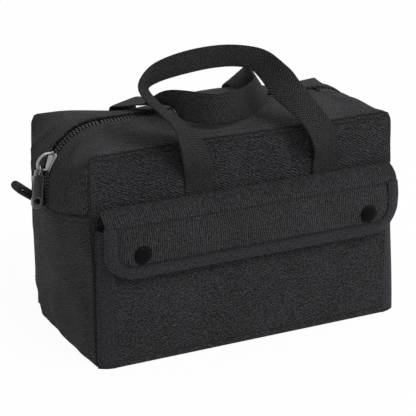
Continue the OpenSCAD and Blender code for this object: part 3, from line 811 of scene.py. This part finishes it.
class TOOLBAG_OT_zip(bpy.types.Operator):
    """Builds the zip's tapes and teeth"""
    bl_idname = "toolbag.zip"
    bl_label = "Zip"

    def execute(self, context):
        tone, mouth = tone_of("zip_black"), sizes().mouth
        tape, teeth = zip_finish("zip tape", tone), moulded_finish("zip teeth", shade(tone, 3.6), 0.5, 0.2)
        start, end = zip_length(-mouth), zip_length(mouth)
        for side, y in (("front", -1), ("back", 1)):
            for maker, kind, slot, ends, top, material in (
                    (zip_tape, "tape", "zip_tape", "zip_tapes", "top_tape", tape),
                    (zip_teeth, "teeth", "zip_teeth", "zip_teeth", "top_teeth", teeth)):
                left = maker(f"left_{side}_zip_{kind}", 0.0, start, y, material)
                right = mirrored(left, f"right_{side}_zip_{kind}")
                for made, x, name in ((left, -1, "left"), (right, 1, "right")):
                    join_top(made, x, slot, f"{name}_{ends}")
                middle = maker(f"top_{side}_zip_{kind}", start, end, y, material)
                belong(middle, f"top_{side}", slot, f"{top}_{side}")
        return {"FINISHED"}


SLIDER_HALF = 6.6
SLIDER_EDGE = [(-8.4, 0), (-8.3, 2.4), (-7.4, 3.9), (-4.5, 4.8), (-1, 5.7), (3, 6.5), (6.4, 6.4),
               (8.0, 5.3), (8.4, 3.2), (7.6, 1.0), (7.3, 0)]
BRIDGE = [(6.6, -0.8), (6.9, 1.2), (5.9, 4.2), (3.4, 6.9), (0, 8.7), (-3.8, 9.5), (-6.8, 8.9), (-8.5, 6.8),
          (-8.7, 4.2), (-7.9, 1.6), (-6.8, -0.8)]


def slider_place(x, y, z):
    """A point on the slider: x up along the zip, y across and z out from its face, in millimetres."""
    s = sizes()
    ax, az, _ = zip_shape()
    up, back = math.sin(s.slider_angle), math.cos(s.slider_angle)
    along, out = Vector((up, 0, back)), Vector((-back, 0, up))
    reach = s.zip_r - CHAIN_DEPTH + s.slider_out
    drop = (x * MM) ** 2 / (2 * reach)
    return Vector((-ax, 0, az)) + out * (reach + z * MM - drop) + along * x * MM + ACROSS * y * MM


def slider_plate(bm, levels):
    """One plate of the slider, as rings of its outline at each level."""
    outline = SLIDER_EDGE + [(x, -y) for x, y in SLIDER_EDGE[-2:0:-1]]
    rings = []
    for z, inset in levels:
        share = 1 - inset / SLIDER_HALF
        rings.append([bm.verts.new(slider_place(x * share, y * share, z)) for x, y in outline])
    for low, high in zip(rings, rings[1:]):
        for k in range(len(outline)):
            n = (k + 1) % len(outline)
            bm.faces.new((low[k], low[n], high[n], high[k]))
    bm.faces.new(rings[0])
    bm.faces.new(rings[-1])


def cast(node, name, material, round_off):
    """A casting with the frame's own form, its edges rounded and its recessed web marked."""
    bm = bmesh.new()
    bm.from_mesh(node.data)
    bm.transform(node.matrix_world)
    bmesh.ops.remove_doubles(bm, verts=bm.verts, dist=0.000002)
    bmesh.ops.dissolve_limit(bm, angle_limit=math.radians(2), verts=bm.verts, edges=bm.edges)
    sharp = [e for e in bm.edges if len(e.link_faces) == 2 and e.calc_face_angle() > math.radians(40)]
    bmesh.ops.bevel(bm, geom=sharp, offset=round_off, segments=2, profile=0.5, affect="EDGES",
                    clamp_overlap=True, material=-1)
    layer = bm.loops.layers.uv.get("cloth") or bm.loops.layers.uv.new("cloth")
    web = max(v.co.y for v in bm.verts) - 0.0003
    bmesh.ops.triangulate(bm, faces=bm.faces)
    for face in bm.faces:
        spot = face.calc_center_median()
        dull = abs(face.normal.y) > 0.9 and abs(spot.y) < web
        for loop in face.loops:
            loop[layer].uv = (1.0 if dull else 0.0, 0.0)
    return new_object(name, bm, material, smooth=False)


class TOOLBAG_OT_metal(bpy.types.Operator):
    """Builds the slider with its bridge and its puller, and gives the ring and the snaps their metal"""
    bl_idname = "toolbag.metal"
    bl_label = "Slider and puller"

    def execute(self, context):
        tone = tone_of("metal")
        metal = metal_finish("zip metal", tone)
        for name in ("puller_ring", "snap_sockets", "snap_studs"):
            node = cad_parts[name]
            node.data.materials.clear()
            node.data.materials.append(metal)
        bm = bmesh.new()
        slider_plate(bm, [(-1.5, 0.3), (-1.2, 0), (-0.5, 0), (-0.1, 0.3), (0.25, 1.2), (0.45, 2.6)])
        slider_plate(bm, [(-6.8, 0.5), (-6.4, 0), (-5.7, 0), (-5.35, 0.3)])
        bmesh.ops.recalc_face_normals(bm, faces=bm.faces)

        steps = 40
        bridge = []
        for k in range(steps + 1):
            t = k / steps * (len(BRIDGE) - 1)
            i = min(int(t), len(BRIDGE) - 2)
            x, z = spline(around_stretch(BRIDGE, i), t - i)
            bridge.append((slider_place(x, 0, z), ACROSS))
        up = slider_place(0, 0, 1) - slider_place(0, 0, 0)
        post = [(slider_place(x, 0, -3.4), ACROSS, up.normalized(), 0.0) for x in (4.6, 5.2, 6.0, 6.9, 7.4)]
        for made in (new_object("slider_plates", bm, metal),
                     ribbon("slider_bridge", swept(bridge), 0.0036, 0.0019, metal),
                     ribbon("slider_post", post, 0.0016, 0.0046, metal)):
            belong(made, "slider", "silver_metal", "zip_slider")

        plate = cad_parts["zip_puller"]
        foot = min((plate.matrix_world @ v.co for v in plate.data.vertices), key=lambda p: p.z)
        dulled = metal_finish("puller metal", tone, eye=foot + Vector((0.0006, 0, 0.0059)))
        belong(cast(plate, "puller_plate", dulled, 0.00025), "puller", "silver_metal", "zip_puller")
        return {"FINISHED"}


# The front pocket and its flap

FRONT_GAP = 0.0003
STAND = [(0, 0), (0.05, 0.35), (0.17, 0.72), (0.34, 0.93), (0.46, 1), (0.82, 1), (1.02, 0.97), (1.2, 0.95)]


def flap_turn(x):
    """How much the flap's ends turn towards the panel."""
    return 0.3 * max(0.0, abs(x) - 0.43 * pocket_sizes().flap_w)


def flap_foot(x):
    """Length of the flap at a place along it."""
    s = pocket_sizes()
    d = max(0.0, abs(x) - s.flap_w / 2 + s.flap_r)
    return s.flap_h - s.flap_r + math.sqrt(max(0.0, s.flap_r ** 2 - d * d))


def flap_at(x, z, lift=0.0):
    s = pocket_sizes()
    drop = (s.flap_z - z) / s.flap_h
    ripple = 0.0006 * noise.noise(Vector((x * 28, z * 30, 2.0))) * ease(drop * 3)
    return Vector((x, -(sizes().base_d / 2 + FRONT_GAP) - s.flap_stand * lookup(STAND, drop)
                   + flap_turn(x) * drop - lift - ripple, z))


class TOOLBAG_OT_flap(bpy.types.Operator):
    """Builds the flap, its binding and its snap caps"""
    bl_idname = "toolbag.flap"
    bl_label = "Flap"

    def execute(self, context):
        s = pocket_sizes()
        cloth = canvas_finish("flap canvas", tone_of("canvas"), [("u", s.tuck / MM, 6, 264)],
                              ribs=(1.0, 0.06, 1.9, 0.2), grain=1.5)

        def place(a, b):
            x = (a - 0.5) * s.flap_w
            return flap_at(x, s.flap_z - (b ** 1.25) * flap_foot(x))

        def lift(a, b, p):
            drop = s.flap_z - p.z
            inward = min(a, 1 - a) * 270
            groove = -0.9 * hump(drop, s.tuck, 0.0022) * ease(inward / 12)
            roll = 0.7 * hump(drop, s.tuck * 0.55, s.tuck * 0.5)
            return (groove + roll) * MM

        flap = sheet("flap_cloth", 130, 44, place, lambda a, b: (a * 270, (b ** 1.25) * 60), cloth,
                     s.flap_t, lift, flip=True)
        belong(flap, "flap", "canvas", "flap")

        tape = tape_finish("flap binding", tone_of("tape"), [("u", 8.8, 0, 900)], shaded_folds=(10.5,))
        section = [(0.0106, -0.0004), (0.0108, 0.0004), (0.0098, 0.0008), (0.005, 0.0010), (0.0004, 0.0009),
                   (-0.0008, 0.0002), (-0.0010, -0.0012), (-0.0008, -0.0026), (0.0004, -0.0033),
                   (0.0100, -0.0034), (0.0100, -0.0029), (0.0010, -0.0028), (-0.0002, -0.0012), (0.0004, 0.0)]
        section.append(section[0])
        half, low, r = s.flap_w / 2, s.flap_z - s.flap_h, s.flap_r
        top = s.flap_z - 0.0118
        side, bend, base = top - low - r, r * math.pi / 2, 2 * (half - r)
        whole = 2 * side + 2 * bend + base

        def edge(run):
            if run > whole / 2:
                x, z, nx, nz = edge(whole - run)
                return -x, z, -nx, nz
            if run < side:
                return -half, top - run, 1.0, 0.0
            if run < side + bend:
                turn = (run - side) / r
                return -half + r - r * math.cos(turn), low + r - r * math.sin(turn), math.cos(turn), math.sin(turn)
            return -half + r + run - side - bend, low, 0.0, 1.0

        def around(a, b):
            x, z, nx, nz = edge(a * whole)
            i = min(int(b * (len(section) - 1)), len(section) - 2)
            t = b * (len(section) - 1) - i
            w, rise = (p * (1 - t) + q * t for p, q in zip(section[i], section[i + 1]))
            return flap_at(x + w * nx, z + w * nz, rise)

        def measure(a, b):
            i = min(int(b * (len(section) - 1)), len(section) - 2)
            return a * whole / MM, section[i][0] / MM

        binding = loft("flap_binding_tape", 190, len(section) - 1, around, measure, tape)
        belong(binding, "flap", "edge_tape", "flap_binding")

        gloss = moulded_finish("snap black", tone_of("snap"), 0.5, 0.05)
        dome = [(0.0, 0.0030), (0.45, 0.00285), (0.78, 0.0022), (0.93, 0.0016), (1.0, 0.0008), (0.97, 0.0)]
        bm = bmesh.new()
        for x in (-s.snap_x, s.snap_x):
            verts = [bm.verts.new((share * s.snap_d / 2, -h, 0)) for share, h in dome]
            edges = [bm.edges.new(pair) for pair in zip(verts, verts[1:])]
            bmesh.ops.spin(bm, geom=verts + edges, cent=(0, 0, 0), axis=(0, 1, 0), dvec=(0, 0, 0),
                           angle=2 * math.pi, steps=40, use_merge=True)
            unplaced = [v for v in bm.verts if abs(v.co.z) < 0.05]
            bmesh.ops.translate(bm, verts=unplaced,
                                vec=(x, -(sizes().base_d / 2 + FRONT_GAP + s.flap_stand), s.snap_z))
        bmesh.ops.remove_doubles(bm, verts=bm.verts, dist=0.00001)
        bmesh.ops.holes_fill(bm, edges=bm.edges, sides=0)
        bmesh.ops.recalc_face_normals(bm, faces=bm.faces)
        belong(new_object("snap_cap_domes", bm, gloss), "flap", "black_metal", "snap_caps")
        return {"FINISHED"}


class TOOLBAG_OT_pocket(bpy.types.Operator):
    """Builds the front pocket, its slanting side tapes and the strip that carries the flap"""
    bl_idname = "toolbag.pocket"
    bl_label = "Front pocket"

    def execute(self, context):
        s = pocket_sizes()
        base_y = sizes().base_d / 2
        face_y = base_y + s.stand
        cloth = canvas_finish("pocket canvas", tone_of("canvas"), [("u", 6.2, 1, 253)],
                              ribs=(0.55, 0.83, 1.9, 0.14), wear=1.3)

        def face(a, b):
            return (a - 0.5) * s.width, -face_y, b * s.height

        def lift(a, b, p):
            near = ease(min(a, 1 - a) * 12) * ease(b * 12)
            ripple = noise.noise(Vector((p.x * 20, p.z * 22, 6.0)))
            return (ripple * near - 0.6 * (1 - ease(b * 118 / 3))) * MM

        made = sheet("pocket_cloth", 110, 50, face, flat(254, 118), cloth, 0.0016, lift)
        belong(made, "root", "canvas", "front_pocket")

        tape = tape_finish("side tape", tone_of("tape"), [("v", 11.2, 0, 118)], shaded_folds=(0.4, 2.2))

        def side(a, b):
            z = b * s.height
            x = s.width / 2 + 0.0002 + s.side * a
            bow = 0.0012 * math.sin(math.pi * a) + 0.003 * a * ease(1 - z / 0.13)
            return Vector((x + bow, -face_y * (1 - a) - (wall_y(z) + 0.0018) * a - bow * 0.6, z))

        right = sheet("right_pocket_tape", 10, 60, side, flat(13.2, 118), tape, 0.0014)
        left = mirrored(right, "left_pocket_tape")
        for made in (left, right):
            belong(made, "root", "edge_tape", "pocket_side_tapes")

        strip = canvas_finish("seam strip canvas", tone_of("canvas"), [("u", 3.0, 0, 260)])
        top, foot = s.flap_z - 0.0003, s.flap_z - 0.013

        def ledge(a, b):
            x, z = (a - 0.5) * (s.flap_w - 0.010), foot + (top - foot) * min(1.0, b * 1.6)
            back = ease((b - 0.6) / 0.4)
            return x, -base_y + back * (base_y - wall_y(top) - 0.0022), z

        made = sheet("flap_seam_cloth", 60, 12, ledge, flat(260, 18), strip, 0.0012)
        belong(made, "root", "canvas", "flap_seam")
        return {"FINISHED"}


# Webbing

# Each row is a place on the handle's middle line, in shares of half the legs' distance, of the legs'
# place across the bag and of the rise above them, and then the direction of the webbing's width there.

FRONT_ROUTE = [
    (-1, 1, 0, 1, 0, 0), (-1, 1.006, 0.06, 1, 0, 0.03), (-1.035, 1.06, 0.15, 0.99, -0.08, 0.15),
    (-1.12, 1.14, 0.275, 0.95, 0.1, 0.3), (-1.25, 1.155, 0.43, 0.78, 0.55, 0.25),
    (-1.4, 1.095, 0.565, 0.5, 0.86, 0.05), (-1.57, 1.02, 0.67, 0.45, 0.89, 0),
    (-1.7, 0.96, 0.755, 0.5, 0.87, 0), (-1.765, 0.915, 0.84, 0.66, 0.68, -0.32),
    (-1.655, 0.885, 0.91, 0.36, 0.56, -0.75), (-1.42, 0.87, 0.955, 0.2, 0.48, -0.85),
    (-1.05, 0.88, 0.99, 0.1, 0.45, -0.89), (-0.65, 0.885, 1, -0.04, 0.5, -0.87),
    (-0.28, 0.88, 0.975, -0.16, 0.58, -0.8), (0, 0.885, 0.92, -0.22, 0.62, -0.75),
    (0.21, 0.94, 0.8, -0.45, 0.45, -0.77), (0.36, 1.005, 0.68, -0.8, 0, -0.55),
    (0.59, 1.12, 0.52, -0.84, -0.36, -0.38), (0.79, 1.15, 0.36, -0.88, -0.3, -0.3),
    (0.94, 1.09, 0.2, -0.95, -0.15, -0.2), (1, 1.025, 0.085, -1, 0, -0.05), (1, 1, 0, -1, 0, 0),
]
BACK_ROUTE = [
    (-1, 1, 0, 1, 0, 0), (-1, 1, 0.1, 1, 0, 0), (-1.06, 1.02, 0.25, 1, 0, 0.02),
    (-1.11, 1.03, 0.44, 0.99, 0, 0.1), (-1.15, 0.99, 0.605, 0.97, 0, 0.22),
    (-1.16, 0.74, 0.69, 0.97, 0, 0.22), (-1.17, 0.45, 0.735, 0.97, 0, 0.2),
    (-1.16, 0.19, 0.77, 0.98, 0, 0.12), (-1.13, -0.045, 0.8, 0.99, 0, -0.1),
    (-1.1, -0.255, 0.865, 0.85, -0.15, -0.5), (-1.06, -0.45, 0.905, 0.4, -0.2, -0.9),
    (-0.925, -0.645, 0.9, 0.05, -0.2, -0.98), (-0.68, -0.79, 0.875, 0, -0.05, -1),
    (-0.43, -0.79, 0.87, 0.04, -0.05, -1), (-0.165, -0.69, 0.855, 0.1, -0.1, -0.99),
    (0.136, -0.495, 0.85, 0.42, 0.1, -0.88), (0.354, -0.3, 0.865, 0.53, 0.2, -0.8),
    (0.457, -0.11, 0.89, 0.56, 0.05, -0.82), (0.5, 0.06, 0.9, 0.45, -0.1, -0.87),
    (0.5, 0.24, 0.885, 0.15, -0.4, -0.85), (0.51, 0.43, 0.845, -0.35, -0.6, -0.6),
    (0.55, 0.62, 0.805, -0.65, -0.5, -0.45), (0.6, 0.8, 0.745, -0.85, -0.35, -0.3),
    (0.68, 0.98, 0.61, -0.97, -0.12, -0.1), (0.75, 1.05, 0.47, -0.98, 0.05, -0.05),
    (0.86, 1.02, 0.25, -1, 0, -0.03), (0.97, 1.006, 0.09, -1, 0, 0), (1, 1, 0, -1, 0, 0),
]


def swept(points):
    """Middle, width, thickness and length so far of a strap, from its middles and their width directions."""
    rows, run = [], 0.0
    for i, (c, w) in enumerate(points):
        ahead = (points[min(i + 1, len(points) - 1)][0] - points[max(i - 1, 0)][0]).normalized()
        across = (w - ahead * w.dot(ahead)).normalized()
        run += (c - points[max(i - 1, 0)][0]).length
        rows.append((c, across, ahead.cross(across), run))
    return rows


def webbing_path(route, side, stand, steps=7, sewn_steps=12):
    """The middle line of a handle, from one sewn end to the other."""
    s = bpy.context.scene.webbing_sizes
    half = s.leg_gap / 2
    leg_y = wall_y(s.leg_z) + 0.0006 + s.thick / 2
    rise = sizes().body_h + sizes().crown + stand - s.leg_z
    rows = [spline(around_stretch(route, i), k / steps) for i in range(len(route) - 1) for k in range(steps)]
    rows.append(route[-1])
    loop = [(Vector((s.leg_mid + r[0] * half, side * r[1] * leg_y, s.leg_z + 0.0003 + r[2] * rise)), Vector(r[3:]))
            for r in rows]
    first, last = [], []
    for k in range(sewn_steps):
        z = s.leg_z - s.sewn_l + k * s.sewn_l / sewn_steps
        y = side * (wall_y(z) + 0.0004 + s.thick / 2)
        first.append((Vector((s.leg_mid - half, y, z)), Vector((1, 0, 0))))
        last.append((Vector((s.leg_mid + half, y, z)), Vector((-1, 0, 0))))
    return swept(first + loop + last[::-1])


def ribbon(name, path, width, thick, material, hang=0.0):
    """A strap swept along a path, with round edges. hang is its share of the back edge's slump."""
    n, corners = len(path) - 1, 20
    outline = []
    for k in range(corners + 1):
        turn = 2 * math.pi * (k % corners) / corners
        x, y = math.cos(turn), math.sin(turn)
        outline.append((math.copysign(abs(x) ** 0.35, x) * width / 2,
                        math.copysign(abs(y) ** 0.6, y) * thick / 2))

    def place(a, b):
        c, across, out, _ = path[round(a * n)]
        w, h = outline[round(b * corners)]
        p = c + across * w + out * h
        return p - Vector((0, 0, slump(p) * hang))

    def measure(a, b):
        return path[round(a * n)][3] / MM, (outline[round(b * corners)][0] + width / 2) / MM

    return loft(name, n, corners, place, measure, material)


class TOOLBAG_OT_handles(bpy.types.Operator):
    """Builds the two webbing handles with their sewn ends"""
    bl_idname = "toolbag.handles"
    bl_label = "Handles"

    def execute(self, context):
        s = context.scene.webbing_sizes
        cloth = webbing_finish("handle webbing", tone_of("webbing"))
        for side, y, route, stand, hang in (("front", -1, FRONT_ROUTE, s.front_stand, 0.0),
                                            ("back", 1, BACK_ROUTE, s.back_stand, 1.0)):
            made = ribbon(f"{side}_handle_webbing", webbing_path(route, y, stand), s.width, s.thick, cloth, hang)
            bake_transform(made)
            stand_for(made, "webbing", f"{side}_handle", f"{side}_handle_ends")
        return {"FINISHED"}


class TOOLBAG_OT_tabs(bpy.types.Operator):
    """Builds the folded webbing tabs at the ends of the zip"""
    bl_idname = "toolbag.tabs"
    bl_label = "Pull tabs"

    def execute(self, context):
        s = context.scene.webbing_sizes
        cloth = webbing_finish("tab webbing", tone_of("webbing"), band=8.5)
        reach, thick, root_gap = s.tab_l - s.tab_t / 2, 0.0033, 0.0017
        mid = s.tab_t / 2 - thick / 2
        root = Vector((-(sizes().body_l / 2 + sizes().end_bulge) - 0.0008, 0.003 + s.tab_w / 2, seam_z(0)))
        along = Vector((-math.cos(s.tab_angle), 0, math.sin(s.tab_angle)))
        up = Vector((math.sin(s.tab_angle), 0, math.cos(s.tab_angle)))
        steps, leg = 40, 0.38
        path = []
        for k in range(steps + 1):
            t = k / steps
            if leg <= t < 1 - leg:
                turn = math.pi * (t - leg) / (1 - 2 * leg)
                x, z = reach + mid * math.sin(turn), mid * math.cos(turn)
            else:
                q = min(t, 1 - t) / leg
                x, z = reach * q, math.copysign(root_gap + (mid - root_gap) * ease(q), 0.5 - t)
            path.append((root + along * x + up * z, ACROSS))
        left = ribbon("left_tab_webbing", swept(path), s.tab_w, thick, cloth)
        right = mirrored(left, "right_tab_webbing")
        belong(left, "root", "webbing", "left_pull_tab")
        belong(right, "root", "webbing", "right_pull_tab")
        return {"FINISHED"}


class TOOLBAG_OT_inside(bpy.types.Operator):
    """Builds the inside pockets and the base reinforcement"""
    bl_idname = "toolbag.inside"
    bl_label = "Inside"

    def execute(self, context):
        tone = tone_of("lining")
        cloth = canvas_finish("lining canvas", tone, [("u", 86.5, 0, 275)], wear=0.6)
        low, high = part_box("inner_pockets_front")
        lean = (sizes().base_d - sizes().top_d) / 2 / sizes().body_h
        foot_y = wall_y(0.0022) - 0.0114
        for side, y in (("front", -1), ("back", 1)):
            def face(a, b):
                x, z = low[0] + (high[0] - low[0]) * a, 0.0024 + 0.0895 * b
                sway = 0.0003 * math.sin(a * 8 * math.pi)
                return Vector((x, y * (foot_y - lean * z + sway), z))

            made = sheet(f"{side}_inside_pockets", 64, 20, face, flat(275, 90), cloth, 0.0012, flip=y < 0)
            belong(made, "root", "lining", f"inner_pockets_{side}")
        plain = canvas_finish("divider canvas", tone, wear=0.6)
        for name in ("inner_dividers_front", "inner_dividers_back", "bottom_reinforcement"):
            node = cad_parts[name]
            bm = bmesh.new()
            bm.from_mesh(node.data)
            bmesh.ops.remove_doubles(bm, verts=bm.verts, dist=0.000001)
            layer = bm.loops.layers.uv.get("cloth") or bm.loops.layers.uv.new("cloth")
            for f in bm.faces:
                for loop in f.loops:
                    c = loop.vert.co
                    loop[layer].uv = ((c.x + c.y) * 1000, (c.z + c.y) * 1000)
            belong(new_object(name + "_cloth", bm, plain, smooth=False), "root", "lining", name)
        return {"FINISHED"}


def shown_share(tree):
    """1 for the rays that show a surface as it is, and 0 for those that light the bag from it."""
    path = tree.nodes.new("ShaderNodeLightPath")
    share = path.outputs["Is Camera Ray"]
    for name in ("Is Glossy Ray", "Is Transmission Ray"):
        most = tree.nodes.new("ShaderNodeMath")
        most.operation = "MAXIMUM"
        tree.links.new(share, most.inputs[0])
        tree.links.new(path.outputs[name], most.inputs[1])
        share = most.outputs[0]
    return share


def mixed(tree, share, first, second, target):
    mix = tree.nodes.new("ShaderNodeMixShader")
    for source, socket in zip((share, first.outputs[0], second.outputs[0]), mix.inputs):
        tree.links.new(source, socket)
    tree.links.new(mix.outputs[0], tree.nodes[target].inputs[0])


class TOOLBAG_OT_stage(bpy.types.Operator):
    """Sets the pale floor, the soft studio light and the camera"""
    bl_idname = "toolbag.stage"
    bl_label = "Stage"

    def execute(self, context):
        scene = context.scene
        finish = Finish("floor", rough=0.9)
        finish.shader.inputs["Base Color"].default_value = (*tone_of("floor"), 1.0)
        glow = finish.tree.nodes.new("ShaderNodeEmission")
        glow.inputs["Strength"].default_value = 1.0
        shown = Wire(finish, shown_share(finish.tree)) * 0.95
        mixed(finish.tree, shown.socket, finish.shader, glow, "Material Output")
        bm = bmesh.new()
        bmesh.ops.create_grid(bm, x_segments=2, y_segments=2, size=6.0)
        bmesh.ops.translate(bm, vec=(0, 0, -0.0003), verts=bm.verts)
        new_object("floor", bm, finish.material)

        world = bpy.data.worlds.new("studio")
        scene.world = world
        world.use_nodes = True
        tree = world.node_tree
        sky, white = tree.nodes["Background"], tree.nodes.new("ShaderNodeBackground")
        for background, strength in ((sky, 0.55), (white, 1.0)):
            background.inputs["Color"].default_value = (1, 1, 1, 1)
            background.inputs["Strength"].default_value = strength
        mixed(tree, shown_share(tree), sky, white, "World Output")

        for name, spot, aim, size, power in (
                ("key light", (0.35, -1.25, 1.45), (0, 0, 0.1), 0.8, 18.0),
                ("fill light", (1.3, -1.0, 0.9), (0, 0, 0.1), 1.0, 7.0),
                ("back light", (0.2, 1.3, 1.2), (0, 0, 0.15), 0.9, 4.0)):
            lamp = bpy.data.lights.new(name, "AREA")
            lamp.size, lamp.energy = size, power
            holder = bpy.data.objects.new(name, lamp)
            holder.location = spot
            holder.rotation_euler = (Vector(aim) - Vector(spot)).to_track_quat("-Z", "Y").to_euler()
            scene.collection.objects.link(holder)

        lens = bpy.data.cameras.new("camera")
        lens.lens, lens.sensor_width = 151.75, 36.0
        lens.clip_start, lens.clip_end = 0.05, 30.0
        holder = bpy.data.objects.new("camera", lens)
        holder.location = (-0.6352, -1.2761, 0.6260)
        holder.rotation_euler = (math.radians(90 - 20.54), 0, math.radians(-26.34))
        scene.collection.objects.link(holder)
        scene.camera = holder
        scene.view_settings.view_transform = "Standard"
        return {"FINISHED"}


class TOOLBAG_PT_panel(bpy.types.Panel):
    """Lists the tool bag's pieces and sizes"""
    bl_label = "Tool Bag"
    bl_idname = "TOOLBAG_PT_panel"
    bl_space_type = "VIEW_3D"
    bl_region_type = "UI"
    bl_category = "Tool Bag"

    def draw(self, context):
        for group in ("bag_sizes", "pocket_sizes", "webbing_sizes", "bag_colours"):
            box = self.layout.box()
            values = getattr(context.scene, group)
            for name in values.__annotations__:
                box.prop(values, name)
        for operator in OPERATORS:
            self.layout.operator(operator.bl_idname)


GROUPS = {"bag_sizes": BagSizes, "pocket_sizes": PocketSizes, "webbing_sizes": WebbingSizes,
          "bag_colours": BagColours}
OPERATORS = (TOOLBAG_OT_stage, TOOLBAG_OT_body, TOOLBAG_OT_top, TOOLBAG_OT_zip, TOOLBAG_OT_metal,
             TOOLBAG_OT_pocket, TOOLBAG_OT_flap, TOOLBAG_OT_handles, TOOLBAG_OT_tabs, TOOLBAG_OT_inside)


def register():
    for group in (*GROUPS.values(), *OPERATORS, TOOLBAG_PT_panel):
        bpy.utils.register_class(group)
    for name, group in GROUPS.items():
        setattr(bpy.types.Scene, name, bpy.props.PointerProperty(type=group))


def unregister():
    for name in GROUPS:
        delattr(bpy.types.Scene, name)
    for group in reversed((*GROUPS.values(), *OPERATORS, TOOLBAG_PT_panel)):
        bpy.utils.unregister_class(group)


def main():
    register()
    bpy.ops.toolbag.stage()
    bpy.ops.toolbag.body()
    bpy.ops.toolbag.top()
    bpy.ops.toolbag.zip()
    bpy.ops.toolbag.metal()
    bpy.ops.toolbag.pocket()
    bpy.ops.toolbag.flap()
    bpy.ops.toolbag.handles()
    bpy.ops.toolbag.tabs()
    bpy.ops.toolbag.inside()


if __name__ == "__main__":
    main()
